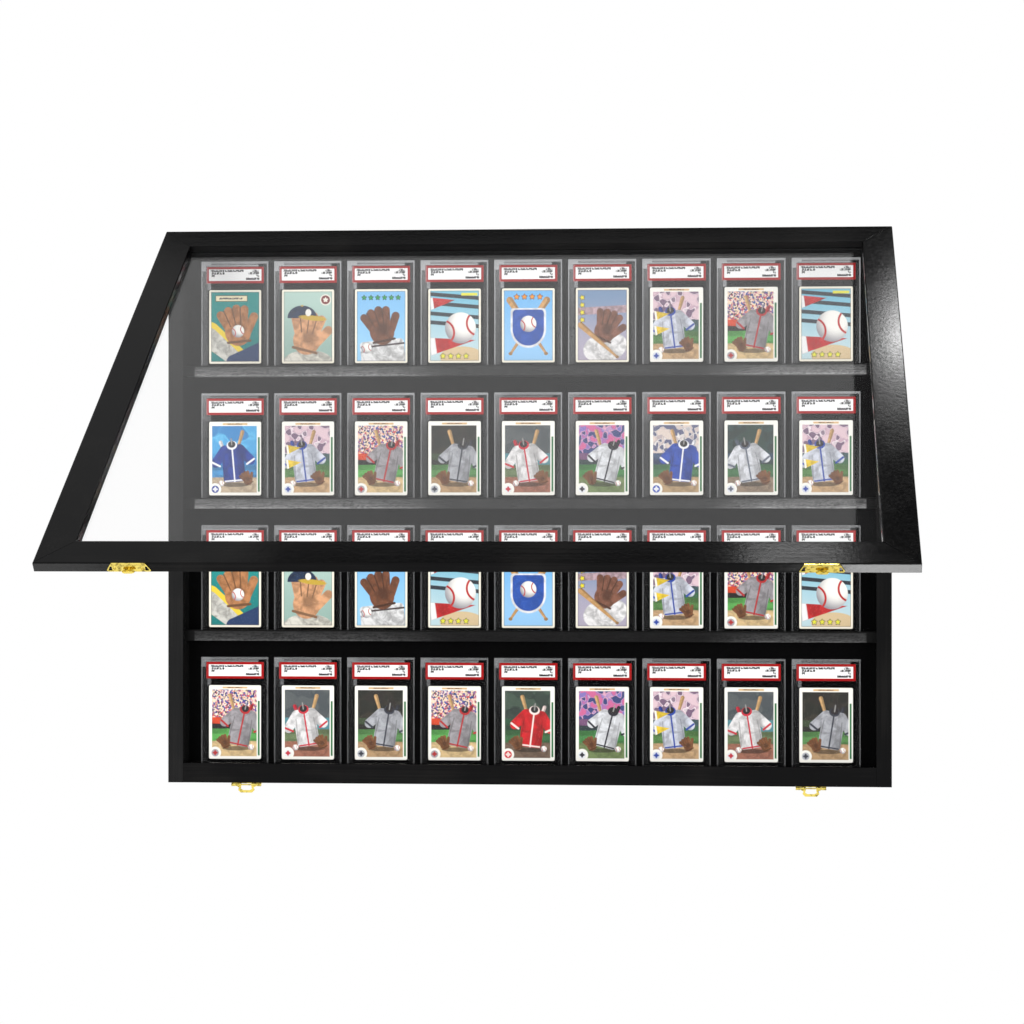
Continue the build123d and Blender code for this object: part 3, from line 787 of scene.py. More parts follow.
        body = self.slab(*at(0.0, 0.46), size * 0.25, size * 0.42, -lean, size * 0.07)
        for side in (-1, 1):
            body = body.most(
                self.bar(at(side * 0.17, 0.76), at(side * 0.40, 0.50), size * 0.12, size * 0.105)
            )
        shade_side = self.bar(at(0.20, 0.78), at(0.20, 0.08), size * 0.10)
        self.lay(body, self.mottled(cloth, 0.5, 6.0))
        self.lay(body * shade_side * 0.35, tuple(channel * 0.3 for channel in cloth))
        for side in (-1, 1):
            self.lay(self.bar(at(side * 0.31, 0.42), at(side * 0.48, 0.52), size * 0.022), trim)
            fold = self.bar(at(side * 0.20, 0.66), at(side * 0.235, 0.12), size * 0.012)
            self.lay(fold * 0.6, tuple(channel * 0.25 for channel in cloth))
        self.lay(self.bar(at(0.0, 0.80), at(0.0, 0.05), size * 0.017), trim)
        self.lay(self.bar(at(-0.21, 0.07), at(0.21, 0.07), size * 0.016), trim)
        self.lay(self.oval(*at(0.0, 0.87), size * 0.12, size * 0.10, -lean), trim)
        self.lay(self.oval(*at(0.0, 0.89), size * 0.085, size * 0.075, -lean), shade(34, 32, 36))
        self.lay(self.bar(at(0.0, 0.88), at(0.0, 1.02), size * 0.014), shade(150, 148, 146))

    def plate(self, x: float, y: float, size: float) -> None:
        """A home plate lying in the dirt: a flattened pentagon with a shadow under it."""
        self.lay(self.oval(x, y - size * 0.2, size * 1.3, size * 0.3) * 0.5, shade(80, 50, 30))
        whole = self.slab(x, y, size, size * 0.16).most(
            self.oval(x, y - size * 0.12, size * 0.6, size * 0.2)
        )
        self.lay(whole, shade(238, 236, 230))


@dataclass(frozen=True)
class LabelPaper(Finish):
    """A grading label: white paper in a dark red border, with rows of dashes."""

    border: float = 2.95
    red: Colour = shade(156, 2, 5)
    white: Colour = shade(246, 246, 246)
    ink: Colour = shade(40, 38, 40)

    def shader(self, recipe: Recipe) -> Signal:
        """Lays the nodes and returns the shader."""
        sketch = Sketch(recipe, self.white)
        sketch.soft = 0.008
        half = LABEL_WIDE / LABEL_TALL / 2
        edge = self.border / LABEL_TALL
        paper = sketch.slab(0.0, 0.5, half - edge, 0.5 - edge)
        left, right = -half + edge * 1.7, half - edge * 2.0
        marks = sketch.rows(
            (
                (left, left + 2.02, 0.755),
                (left + 0.06, left + 0.86, 0.605),
                (left + 0.06, left + 0.26, 0.45),
                (right - 0.44, right, 0.755),
                (right - 0.64, right, 0.605),
                (right - 0.16, right, 0.45),
                (right - 0.80, right + 0.02, 0.27),
            ),
            0.066,
            0.085,
        )
        sketch.lay(marks, self.ink)
        sketch.lay(1 - paper, self.red)
        grit = recipe.noise(sketch.spot, 40.0, 3.0, 0.6)
        return recipe.surface(
            Base_Color=sketch.colour,
            Roughness=0.5 + 0.12 * grit,
            Normal=recipe.bump(grit, 0.2, 0.00004),
            Specular_IOR_Level=0.3,
        )


class Motif(Enum):
    """What a still life shows."""

    MITT_AND_PENNANT = "mitt and pennant"
    CAP_ON_MITT = "cap on mitt"
    MITT_ON_BASE = "mitt on base"
    BALL_AND_FLAGS = "ball and flags"
    SHIELD_AND_BATS = "shield and bats"
    PLATE_AND_MITT = "plate and mitt"


@dataclass(frozen=True)
class StillLife(Finish):
    """A card of the older kind: one object against a plain sky, in a thin cream border."""

    motif: Motif
    sky: Colour
    sky_low: Colour
    first: Colour
    second: Colour
    accent: Colour
    half: float = CARD_WIDE / CARD_TALL / 2
    border: float = 0.028

    def shader(self, recipe: Recipe) -> Signal:
        """Lays the nodes and returns the shader."""
        sketch = Sketch(recipe, self.sky)
        haze = recipe.noise(sketch.spot, 3.0, 4.0, 0.55)
        sketch.colour = recipe.tint(
            (sketch.height + 0.35 * (haze - 0.5)).rise(0.15, 0.95), self.sky_low, self.sky
        )
        self.draw(sketch)
        window = sketch.slab(0.0, 0.5, self.half - self.border, 0.5 - self.border)
        sketch.lay(1 - window, shade(247, 241, 224))
        inner = self.border + 0.007
        rule = window * (1 - sketch.slab(0.0, 0.5, self.half - inner, 0.5 - inner))
        sketch.lay(rule * 0.6, shade(60, 52, 48))
        return varnished(recipe, sketch)

    def draw(self, sketch: Sketch) -> None:
        """Draws the motif."""
        drawings: dict[Motif, Callable[[Sketch], None]] = {
            Motif.MITT_AND_PENNANT: self.mitt_and_pennant,
            Motif.CAP_ON_MITT: self.cap_on_mitt,
            Motif.MITT_ON_BASE: self.mitt_on_base,
            Motif.BALL_AND_FLAGS: self.ball_and_flags,
            Motif.SHIELD_AND_BATS: self.shield_and_bats,
            Motif.PLATE_AND_MITT: self.plate_and_mitt,
        }
        drawings[self.motif](sketch)

    def stars(self, sketch: Sketch, height: float, count: int, size: float) -> None:
        """A row of stars in the accent colour, outlined in a dark tone."""
        sketch.stars(0.0, height, size, shade(24, 30, 40), self.accent, count, size * 2.9)

    def mitt_and_pennant(self, sketch: Sketch) -> None:
        """A tan glove over navy and yellow bands, under a cream plate of dashes."""
        sketch.lay(sketch.bar((-0.36, 0.40), (0.12, 0.02), 0.17, 0.12), self.accent)
        sketch.lay(
            sketch.bar((-0.36, 0.36), (0.10, -0.02), 0.13, 0.09),
            sketch.mottled(shade(210, 208, 200), 0.5),
        )
        sketch.lay(sketch.bar((0.36, 0.16), (-0.02, 0.02), 0.13, 0.1), self.second)
        sketch.mitt(0.03, 0.47, 0.34, self.first, 12.0)
        sketch.ball(0.04, 0.44, 0.085)
        plate = (-0.05, 0.885)
        sketch.lay(sketch.slab(*plate, 0.22, 0.042), shade(90, 76, 30))
        sketch.lay(sketch.slab(*plate, 0.212, 0.034), shade(244, 232, 196))
        sketch.lay(sketch.rows(((-0.22, 0.10, 0.885),), 0.012, 0.02), shade(40, 40, 60))

    def cap_on_mitt(self, sketch: Sketch) -> None:
        """A navy cap resting on a pale tan glove, with a dark red roundel at the upper right."""
        sketch.lay(sketch.oval(0.0, 0.02, 0.34, 0.16), sketch.mottled(shade(225, 222, 210), 0.45))
        sketch.mitt(-0.01, 0.36, 0.36, self.first, -8.0)
        sketch.cap(-0.08, 0.62, 0.2, self.second, shade(196, 164, 60))
        roundel, cream = (0.24, 0.86), shade(240, 236, 224)
        sketch.lay(sketch.oval(*roundel, 0.075, 0.075), cream)
        sketch.lay(sketch.oval(*roundel, 0.06, 0.06), self.accent)
        sketch.stars(*roundel, 0.03, cream, cream, 1, 0.12)

    def mitt_on_base(self, sketch: Sketch) -> None:
        """A brown glove leaning on a white base, with a row of stars across the sky."""
        sketch.lay(
            sketch.slab(0.02, 0.15, 0.3, 0.16, 6.0, 0.05), sketch.mottled(shade(236, 236, 236), 0.45)
        )
        sketch.lay(sketch.slab(0.02, 0.24, 0.3, 0.012, 6.0), self.second)
        sketch.mitt(0.0, 0.46, 0.32, self.first, 18.0)
        sketch.ball(-0.2, 0.2, 0.07)
        self.stars(sketch, 0.885, 6, 0.032)

    def ball_and_flags(self, sketch: Sketch) -> None:
        """A large ball over dark bleacher bands, with red flags and a yellow strip."""
        for height in (0.9, 0.78, 0.64, 0.52):
            sketch.lay(sketch.slab(0.0, height, 0.4, 0.026, -5.0), shade(40, 48, 58))
        sketch.lay(sketch.oval(0.1, 0.08, 0.3, 0.14), shade(214, 190, 150))
        sketch.pennant(-0.33, 0.80, 0.34, 0.17, self.first, shade(240, 240, 240))
        sketch.pennant(-0.33, 0.22, 0.62, 0.24, self.first, shade(240, 240, 240))
        sketch.ball(0.08, 0.47, 0.21)
        sketch.lay(sketch.slab(0.2, 0.925, 0.11, 0.018), self.accent)
        self.stars(sketch, 0.09, 4, 0.036)

    def shield_and_bats(self, sketch: Sketch) -> None:
        """Two crossed bats behind a royal blue shield with a white rim, and orange stars."""
        sketch.bat((-0.25, 0.84), (0.24, 0.12), 0.045, self.first)
        sketch.bat((0.25, 0.84), (-0.24, 0.12), 0.045, self.first)
        for size, colour in ((0.24, shade(240, 240, 244)), (0.212, self.second)):
            whole = sketch.slab(0.0, 0.56, size, size * 0.72, 0.0, 0.05).most(
                sketch.oval(0.0, 0.45, size, size * 1.05)
            )
            sketch.lay(whole, sketch.mottled(colour, 0.7, 6.0))
        sketch.ball(0.0, 0.52, 0.11)
        self.stars(sketch, 0.885, 4, 0.036)

    def plate_and_mitt(self, sketch: Sketch) -> None:
        """A purple-brown glove on a white towel under a pale stand, with yellow stars down one side."""
        sketch.lay(
            sketch.slab(0.0, 0.70, 0.4, 0.05, 3.0), sketch.mottled(shade(196, 168, 176), 0.5, 14.0)
        )
        sketch.lay(sketch.oval(0.04, 0.2, 0.3, 0.2, 14.0), sketch.mottled(shade(242, 240, 240), 0.5))
        sketch.mitt(0.05, 0.45, 0.28, self.first, -20.0)
        sketch.bat((-0.29, 0.5), (0.2, 0.07), 0.04, shade(206, 160, 104))
        sketch.stars(-0.27, 0.72, 0.034, shade(60, 50, 40), self.accent, 4, 0.1, 5, 90.0)


@dataclass(frozen=True)
class FieldView(Finish):
    """A card of the later kind: a shirt and other kit in a ball park, in a rounded white border.

    A coloured rule runs up the right side, a caption strip runs along the top, and a round badge sits in
    the lower left corner.
    """

    crowd: tuple[Colour, ...]
    wall: Colour
    band: Colour
    grass: Colour
    dirt: Colour
    cloth: Colour
    trim: Colour
    lean: float = 8.0
    stand: float = 0.03
    flags: tuple[Colour, ...] = ()
    rule: Colour = shade(28, 108, 58)
    crowd_size: float = 50.0
    sharp_crowd: float = 30.0
    half: float = CARD_WIDE / CARD_TALL / 2
    border: float = 0.034

    def shader(self, recipe: Recipe) -> Signal:
        """Lays the nodes and returns the shader."""
        sketch = Sketch(recipe, self.wall)
        self.park(recipe, sketch)
        side = -1.0 if self.lean < 0 else 1.0
        sketch.lay(sketch.oval(self.stand, 0.145, 0.2, 0.03) * 0.7, shade(36, 30, 26))
        sketch.bat(
            (self.stand - side * 0.10, 0.86), (self.stand + side * 0.02, 0.44), 0.026,
            shade(214, 172, 118),
        )
        sketch.bat((self.stand + side * 0.2, 0.72), (self.stand + side * 0.06, 0.36), 0.024, self.trim)
        sketch.jersey(self.stand, 0.16, self.lean, 0.60, self.cloth, self.trim)
        sketch.mitt(self.stand - side * 0.17, 0.22, 0.12, shade(132, 84, 52), 30.0)
        sketch.ball(self.stand + side * 0.19, 0.16, 0.04)
        for count, colour in enumerate(self.flags):
            sketch.pennant(-0.29, 0.62 - 0.2 * count, 0.2, 0.13, colour, shade(245, 245, 235))
        self.frame_picture(sketch)
        return varnished(recipe, sketch)

    def park(self, recipe: Recipe, sketch: Sketch) -> None:
        """Paints a crowd, a wall, a dark band, mown grass and dirt, from the top down."""
        if self.crowd_size < self.sharp_crowd:
            blots = {"Vector": sketch.spot, "Scale": self.crowd_size, "Smoothness": 0.7}
            cells = recipe.node("ShaderNodeTexVoronoi", {"feature": "SMOOTH_F1"}, blots, "Color")
            pick = recipe.axes(cells)[0].rise(0.25, 0.75)
        else:
            dots = {"Vector": sketch.spot, "Scale": self.crowd_size}
            pick = recipe.axes(recipe.node("ShaderNodeTexVoronoi", None, dots, "Color"))[0]
        stops = [(0.98 * i / len(self.crowd), colour) for i, colour in enumerate(self.crowd)]
        people = recipe.node("ShaderNodeValToRGB", {"stops": stops}, {"Fac": pick})
        wave = 0.02 * (recipe.noise(sketch.spot, 5.0) - 0.5)
        level = sketch.height + wave
        sketch.colour = sketch.mottled(self.grass, 0.55, 4.0)
        stripes = (level * 46.0).math("SINE").rise(-0.4, 0.5)
        sketch.lay(stripes * 0.35, tuple(min(1.0, c * 1.5) for c in self.grass))
        sketch.lay(level.rise(0.405, 0.415), self.band)
        sketch.lay(level.rise(0.475, 0.485), sketch.mottled(self.wall, 0.6, 5.0))
        sketch.lay(level.rise(0.56, 0.572), people)
        sketch.lay(level.rise(0.25, 0.235), sketch.mottled(self.dirt, 0.62, 12.0))

    def frame_picture(self, sketch: Sketch) -> None:
        """Lays the white border, the rule up the right side, the top caption and the round badge."""
        white = shade(248, 246, 238)
        picture = sketch.slab(-0.009, 0.490, self.half - self.border - 0.016, 0.5 - self.border - 0.014)
        sketch.lay(1 - picture, white)
        sketch.lay(sketch.slab(self.half - 0.031, 0.42, 0.013, 0.37), self.rule)
        sketch.lay(sketch.slab(0.0, 0.968, 0.17, 0.0125), shade(222, 184, 132))
        sketch.lay(sketch.rows(((-0.1, 0.1, 0.968),), 0.007, 0.016), shade(70, 44, 30))
        badge = (-self.half + 0.085, 0.083)
        sketch.lay(sketch.oval(*badge, 0.082, 0.082), white)
        sketch.lay(sketch.oval(*badge, 0.05, 0.05), self.cloth)
        sketch.stars(*badge, 0.03, self.trim, self.trim, 1, 0.2, 4)


def varnished(recipe: Recipe, sketch: Sketch) -> Signal:
    """Prints a sketch on coated card: a fine screen of ink, and a slight wave in the varnish."""
    ink = recipe.noise(sketch.spot, 260.0, 2.0, 0.6)
    printed = recipe.tint(0.14 * ink, sketch.colour, shade(120, 112, 104))
    varnish = recipe.noise(sketch.spot, 6.0, 2.0, 0.5)
    return recipe.surface(
        Base_Color=printed,
        Roughness=0.34 + 0.16 * varnish,
        Normal=recipe.bump(ink, 0.15, 0.00003),
        Specular_IOR_Level=0.3,
    )


@dataclass(frozen=True)
class CardStock(Finish):
    """The bare edge and back of a card: grey-brown pulp with a few darker fibres."""

    pale: Colour = shade(206, 196, 178)
    fibre: Colour = shade(150, 138, 120)

    def shader(self, recipe: Recipe) -> Signal:
        """Lays the nodes and returns the shader."""
        pulp = recipe.noise(recipe.place((0, 0.6, 0), (900.0, 900.0, 300.0)), 1.0, 3.0, 0.6)
        return recipe.surface(
            Base_Color=recipe.tint(pulp.rise(0.5, 0.75), self.pale, self.fibre),
            Roughness=0.75,
            Normal=recipe.bump(pulp, 0.3, 0.00004),
        )


# ---------------------------------------------------------------- surfaces


@dataclass
class Surface:
    """A mesh held as whole arrays: points in metres, faces as rows of point numbers, and a flat map."""

    points: np.ndarray
    faces: list[list[int]]
    chart: np.ndarray | None = None
    sheet: np.ndarray | None = None
    finishes: np.ndarray | None = None

    def object(
        self, name: str, materials: Sequence[Material], smooth: bool = True
    ) -> Object:
        """Makes the object.

        Args:
            name: the piece's name.
            materials: its materials, which finishes numbers face by face.
            smooth: whether its soft bends are shaded smooth.

        Returns:
            The object, at the origin.
        """
        mesh = bpy.data.meshes.new(name)
        mesh.from_pydata(self.points.tolist(), [], self.faces)
        corners = np.zeros(len(mesh.loops), dtype=np.int32)
        mesh.loops.foreach_get("vertex_index", corners)
        for label, flat in (("Print", self.chart), ("OFBake", self.sheet)):
            if flat is not None:
                layer = mesh.uv_layers.new(name=label)
                chosen = flat[corners] if len(flat) == len(self.points) else flat
                layer.data.foreach_set("uv", chosen.astype(np.float32).ravel())
        for material in materials:
            mesh.materials.append(material)
        if self.finishes is not None:
            mesh.polygons.foreach_set("material_index", self.finishes.astype(np.int32))
        made = bpy.data.objects.new(name, mesh)
        bpy.context.scene.collection.objects.link(made)
        if smooth:
            shade_soft(made, 28.0)
        return made


def shade_soft(piece: Object, angle: float) -> None:
    """Shades smooth, with sharp edges where two faces meet at more than an angle in degrees."""
    mesh = piece.data
    mesh.polygons.foreach_set("use_smooth", np.ones(len(mesh.polygons), dtype=bool))
    work = bmesh.new()
    work.from_mesh(mesh)
    limit = math.radians(angle)
    for edge in work.edges:
        edge.smooth = len(edge.link_faces) == 2 and edge.calc_face_angle(0.0) < limit
    work.to_mesh(mesh)
    work.free()


def settle(
    piece: Object, body: str, replaced: Sequence[str] = ()
) -> Object:
    """Puts a finished piece on its body.

    Args:
        piece: the object.
        body: the body that it rides on.
        replaced: the solids that it stands for.

    Returns:
        The same object.
    """
    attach(piece, body)
    if replaced:
        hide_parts(*replaced)
    LOG.info("%s: %d faces on %s", piece.name, len(piece.data.polygons), body)
    return piece


def body_of(node: str) -> str:
    """The body that a solid belongs to."""
    return frame["nodes"][node]["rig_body"]


def softened(
    node: str, name: str, material: Material, radius: float,
    angle: float = 30.0,
) -> Object:
    """A copy of a solid with its doubles merged, its flat faces made whole, and its edges eased.

    Args:
        node: the solid.
        name: the new piece's name.
        material: its finish.
        radius: how far each edge is eased, in metres.
        angle: edges that bend less than this, in degrees, stay as they are.

    Returns:
        The piece, which replaces the solid.
    """
    mesh = frame["nodes"][node].data.copy()
    mesh.name = name
    work = bmesh.new()
    work.from_mesh(mesh)
    bmesh.ops.remove_doubles(work, verts=work.verts, dist=2e-6)
    bmesh.ops.dissolve_limit(work, angle_limit=math.radians(0.6), verts=work.verts, edges=work.edges)
    work.to_mesh(mesh)
    work.free()
    mesh.materials.clear()
    mesh.materials.append(material)
    piece = bpy.data.objects.new(name, mesh)
    bpy.context.scene.collection.objects.link(piece)
    shade_soft(piece, angle)
    eased = piece.modifiers.new("eased_edges", "BEVEL")
    eased.width = radius
    eased.segments = 2
    eased.limit_method = "ANGLE"
    eased.angle_limit = math.radians(angle)
    eased.use_clamp_overlap = True
    eased.harden_normals = True
    return settle(piece, body_of(node), [node])


def see_through(piece: Object) -> None:
    """Lets the lamps shine through a clear piece without a shadow."""
    piece.visible_shadow = False
    piece.visible_diffuse = False


def dress(node: str, material: Material) -> None:
    """Puts a finish on a solid that keeps its own shape."""
    mesh = frame["nodes"][node].data
    mesh.materials.clear()
    mesh.materials.append(material)
    LOG.info("%s: dressed as it is", node)


def islands(node: str) -> list[np.ndarray]:
    """The separate lumps of a solid, as arrays of points.

    Points at one place share a number. Each point takes the smallest number along its edges, over and
    over, until nothing changes, so that a lump ends with one number.
    """
    mesh = frame["nodes"][node].data
    points = np.zeros(len(mesh.vertices) * 3)
    mesh.vertices.foreach_get("co", points)
    points = points.reshape(-1, 3)
    _, shared = np.unique(np.round(points, 6), axis=0, return_inverse=True)
    shared = shared.ravel()
    edges = np.zeros(len(mesh.edges) * 2, dtype=np.int32)
    mesh.edges.foreach_get("vertices", edges)
    ends = shared[edges.reshape(-1, 2)]
    label = np.arange(shared.max() + 1)
    while True:
        lowest = label[ends].min(axis=1)
        found = label.copy()
        np.minimum.at(found, ends[:, 0], lowest)
        np.minimum.at(found, ends[:, 1], lowest)
        if np.array_equal(found, label):
            break
        label = found
    return [points[label[shared] == number] for number in np.unique(label)]


def rounded_outline(half_x: float, half_z: float, radius: float, steps: int = 5) -> np.ndarray:
    """A rectangle with round corners: four quarter circles, each about its own corner's centre."""
    turn = np.linspace(0, math.pi / 2, steps)
    quarter = np.arange(4)[:, None] * math.pi / 2 + turn[None, :]
    signs = np.array([[1, 1], [-1, 1], [-1, -1], [1, -1]])
    middle = signs * (np.array([half_x, half_z]) - radius)
    corners = middle[:, None, :] + radius * np.stack([np.cos(quarter), np.sin(quarter)], axis=2)
    return corners.reshape(-1, 2)


def paper_plates(
    places: np.ndarray, wide: float, tall: float, front: float, thick: float, radius: float,
    kinds: Sequence[int],
) -> Surface:
    """Flat sheets of paper or card with rounded corners and eased edges, upright and facing -Y.

    Four rings of one rounded outline run from the back to the front: the first and the last are drawn
    in by the edge's softness. A face closes each end. The chart is the place on the sheet over its
    height, and each sheet takes its own cell of a square.

    Args:
        places: the (x, z) of each sheet's lower middle.
        wide: the width.
        tall: the height.
        front: the front's Y.
        thick: the thickness.
        radius: the corners' radius.
        kinds: the material number of each sheet's front. The edge and back take number 0.

    Returns:
        The surface.
    """
    ease = thick * 0.3
    outer = rounded_outline(wide / 2, tall / 2, radius)
    inner = rounded_outline(wide / 2 - ease, tall / 2 - ease, radius - ease)
    depths = front + np.array([thick, thick - ease, ease, 0.0])
    rings = np.stack([inner, outer, outer, inner])
    count, around, sheets = 4, len(outer), len(places)
    flat = np.concatenate([rings, np.broadcast_to(depths[:, None, None], (count, around, 1))], axis=2)
    one = flat[:, :, [0, 2, 1]].reshape(-1, 3)
    shift = np.stack([places[:, 0], np.zeros(sheets), places[:, 1] + tall / 2], axis=1)
    points = (one[None] + shift[:, None]).reshape(-1, 3)
    index = np.arange(count * around).reshape(count, around)
    ahead = np.roll(index, -1, axis=1)
    walls = np.stack([index[:-1], ahead[:-1], ahead[1:], index[1:]], axis=2).reshape(-1, 4)
    faces: list[list[int]] = []
    finishes: list[int] = []
    for sheet, kind in enumerate(kinds):
        start = sheet * len(one)
        faces += (walls + start).tolist()
        faces += [(index[0][::-1] + start).tolist(), (index[-1] + start).tolist()]
        finishes += [kind] * len(walls) + [0, kind]
    chart = np.tile(np.stack([one[:, 0] / tall, one[:, 2] / tall + 0.5], axis=1), (sheets, 1))
    across = math.ceil(math.sqrt(sheets))
    cell = np.stack([np.arange(sheets) % across, np.arange(sheets) // across], axis=1)
    inside = np.stack([one[:, 0] / wide + 0.5, one[:, 2] / tall + 0.5], axis=1)
    sheet_map = ((cell[:, None] + 0.02 + 0.96 * inside[None]) / across).reshape(-1, 2)
    return Surface(points, faces, chart, sheet_map, np.array(finishes))


def ramp(values: np.ndarray, start: float, end: float) -> np.ndarray:
    """A straight step from 0 at start to 1 at end, held at its ends."""
    return np.clip((values - start) / (end - start), 0.0, 1.0)


def between(values: np.ndarray, low: float, high: float, slope: float) -> np.ndarray:
    """A raised band: a ramp up just inside low times a ramp down just inside high."""
    return ramp(values, low, low + slope) * ramp(values, high, high - slope)


# ---------------------------------------------------------------- the case's parts


@dataclass(frozen=True)
class Palette:
    """Every finish that more than one sub-assembly uses, made once."""

    rail: Material
    side: Material
    lit_left_side: Material
    stile: Material
    brass: Material
    steel: Material

    @classmethod
    def mixed(cls) -> "Palette":
        """Makes the finishes."""
        return cls(
            BlackPaint("black_paint_rail", Grain.ALONG_X).material(),
            BlackPaint("black_paint_side", Grain.ALONG_Z).material(),
            # Painted light: a paler black for the left side, standing for the light that falls from the
            # left.
            BlackPaint(
                "black_paint_faded_side", Grain.ALONG_Z,
                dark=(0.0095, 0.0095, 0.0097), worn=(0.0145, 0.0142, 0.014),
            ).material(),
            BlackPaint("black_paint_stile", Grain.ALONG_STILE).material(),
            PlatedMetal(
                "yellow_brass", (0.96, 0.77, 0.18), (0.26, 0.19, 0.045), (0.10, 0.24)
            ).material(),
            PlatedMetal("zinc_steel", (0.60, 0.61, 0.63), (0.36, 0.36, 0.37), (0.28, 0.5)).material(),
        )


@dataclass
class Carcass:
    """The wooden box: two sides, two rails, three shelves, the back panel and its felt."""

    palette: Palette
    ease: float = 0.45 * MM
    shelf_ease: float = 0.6 * MM
    wire_ease: float = 0.12 * MM
    plate_ease: float = 0.2 * MM

    def build(self) -> None:
        """Builds and dresses the pieces."""
        for node, finish in (
            # The left side takes the paler paint, which is painted light.
            ("case_left_side", self.palette.lit_left_side),
            ("case_right_side", self.palette.side),
            ("case_top_rail", self.palette.rail),
            ("case_bottom_rail", self.palette.rail),
        ):
            softened(node, f"{node}_board", finish, self.ease)
        for node, top, tones in (
            ("lower_shelf", LIP_TOPS[2], (0.0145, 0.135)),
            ("middle_shelf", LIP_TOPS[1], (0.050, 0.44)),
            ("upper_shelf", LIP_TOPS[0], (0.050, 0.44)),
        ):
            ledge = RubbedAndLitPaint(f"rubbed_{node}", top * MM, tones).material()
            softened(node, f"{node}_board", ledge, self.shelf_ease)
        dress("back_panel", Hardboard("black_hardboard").material())
        dress("felt_liner", Felt("black_felt").material())
        dress("corner_biscuits", Beech("raw_beech").material())
        steel = self.palette.steel
        softened("back_panel_staples", "panel_staple_wires", steel, self.wire_ease)
        softened("hanger_plates", "keyhole_plates", steel, self.plate_ease)
        outward = (0, 1, 0)
        ScrewSet("hanger_screws", "steel", steel, outward, head=2.1, shank=1.1, rise=1.2).build()


@dataclass
class Door:
    """The swung door: four mitred members, four beads and the acrylic sheet."""

    palette: Palette
    ease: float = 0.4 * MM
    bead_ease: float = 0.3 * MM
    pane_ease: float = 0.2 * MM

    def build(self) -> None:
        """Builds and dresses the pieces."""
        rail, stile = self.palette.rail, self.palette.stile
        members = (
            ("top", "rail", rail), ("bottom", "rail", rail),
            ("left", "stile", stile), ("right", "stile", stile),
        )
        for side, member, finish in members:
            node = f"door_{side}_{member}"
            softened(node, f"{node}_board", finish, self.ease)
        for side, _, finish in members:
            bead = f"glazing_bead_{side}"
            softened(bead, f"{bead}_strip", finish, self.bead_ease)
        acrylic = Acrylic("clear_acrylic", veil=0.008).material()
        see_through(softened("door_pane", "acrylic_sheet", acrylic, self.pane_ease))


@dataclass
class ScrewSet:
    """Cross-recess screws in the place of a solid's plain ones.

    A screw is a grid of distance from its axis by angle about it. The head's top is a dome or a disc,
    less a cross: full depth where the nearer of the two arms' distances is under the arm's half width
    and the farther one is under its length. The rings then go down the head's side and the shank.
    """

    node: str
    slot: str
    finish: Material
    outward: Colour
    head: float
    shank: float
    rise: float = 0.0
    domed: bool = False
    around: int = 32

    def build(self) -> Object:
        """Builds the set and returns its piece."""
        axis = np.array(self.outward, dtype=float)
        axis /= np.linalg.norm(axis)
        side = np.cross(axis, (1.0, 0.0, 0.0))
        side /= np.linalg.norm(side)
        third = np.cross(axis, side)
        points: list[np.ndarray] = []
        faces: list[list[int]] = []
        for lump in islands(self.node):
            heights = lump @ axis
            middle = 0.5 * (lump.min(axis=0) + lump.max(axis=0))
            base = middle + axis * (heights.max() - middle @ axis)
            one, sides = self.screw((heights.max() - heights.min()) / MM)
            start = sum(len(done) for done in points)
            placed = base + MM * (one[:, :1] * side + one[:, 1:2] * third + one[:, 2:] * axis)
            points.append(placed)
            faces += [[corner + start for corner in face] for face in sides]
        surface = Surface(np.concatenate(points), faces)
        piece = surface.object(f"{self.node[:-1]}_heads", [self.finish])
        return settle(piece, body_of(self.node), [self.node])

    def screw(self, length: float) -> tuple[np.ndarray, list[list[int]]]:
        """One screw, whose top is at height 0, in millimetres.

        Args:
            length: from the top of the head to the point.

        Returns:
            The points and the faces.
        """
        reach = self.head * np.array([0.1, 0.2, 0.28, 0.4, 0.52, 0.6, 0.7, 0.82, 0.93, 1.0])
        crown = self.rise * (reach / self.head) ** 2.6 if self.domed else 0.12 * (reach / self.head) ** 8
        angle = np.linspace(0, math.tau, self.around, endpoint=False)
        a, b = abs(reach[:, None] * np.cos(angle)), abs(reach[:, None] * np.sin(angle))
        arm, long, slope = 0.13 * self.head, 0.55 * self.head, 0.1 * self.head
        cross = np.clip((arm - np.minimum(a, b)) / slope + 0.5, 0, 1)
        cross = cross * np.clip((long - np.maximum(a, b)) / slope + 0.5, 0, 1)
        top = -crown[:, None] - 0.55 * cross
        neck = self.rise + (0.1 if self.domed else 0.9)
        lower = np.array([[self.head * 0.98, self.rise + 0.08], [self.shank, neck]])
        thread = np.linspace(neck + 0.4, length - 1.2, 12)
        wave = self.shank * np.where(np.arange(12) % 2, 0.86, 1.0)
        tail = np.concatenate(
            [lower, np.stack([wave, thread], axis=1), [[self.shank * 0.3, length - 0.2]]]
        )
        radii = np.concatenate([reach, tail[:, 0]])
        heights = np.concatenate([top, np.broadcast_to(-tail[:, 1:], (len(tail), self.around))])
        rings = np.stack(
            [radii[:, None] * np.cos(angle), radii[:, None] * np.sin(angle), heights], axis=2
        )
        body = rings.reshape(-1, 3)
        points = np.concatenate([body, [[0, 0, -0.6], [0, 0, -length]]])
        index = np.arange(len(body)).reshape(len(radii), self.around)
        ahead = np.roll(index, -1, axis=1)
        quads = np.stack([index[:-1], index[1:], ahead[1:], ahead[:-1]], axis=2).reshape(-1, 4).tolist()
        first, last = len(body), len(body) + 1
        fan = np.stack([np.full(self.around, first), index[0], ahead[0]], axis=1).tolist()
        point = np.stack([np.full(self.around, last), ahead[-1], index[-1]], axis=1).tolist()
        return points, quads + fan + point


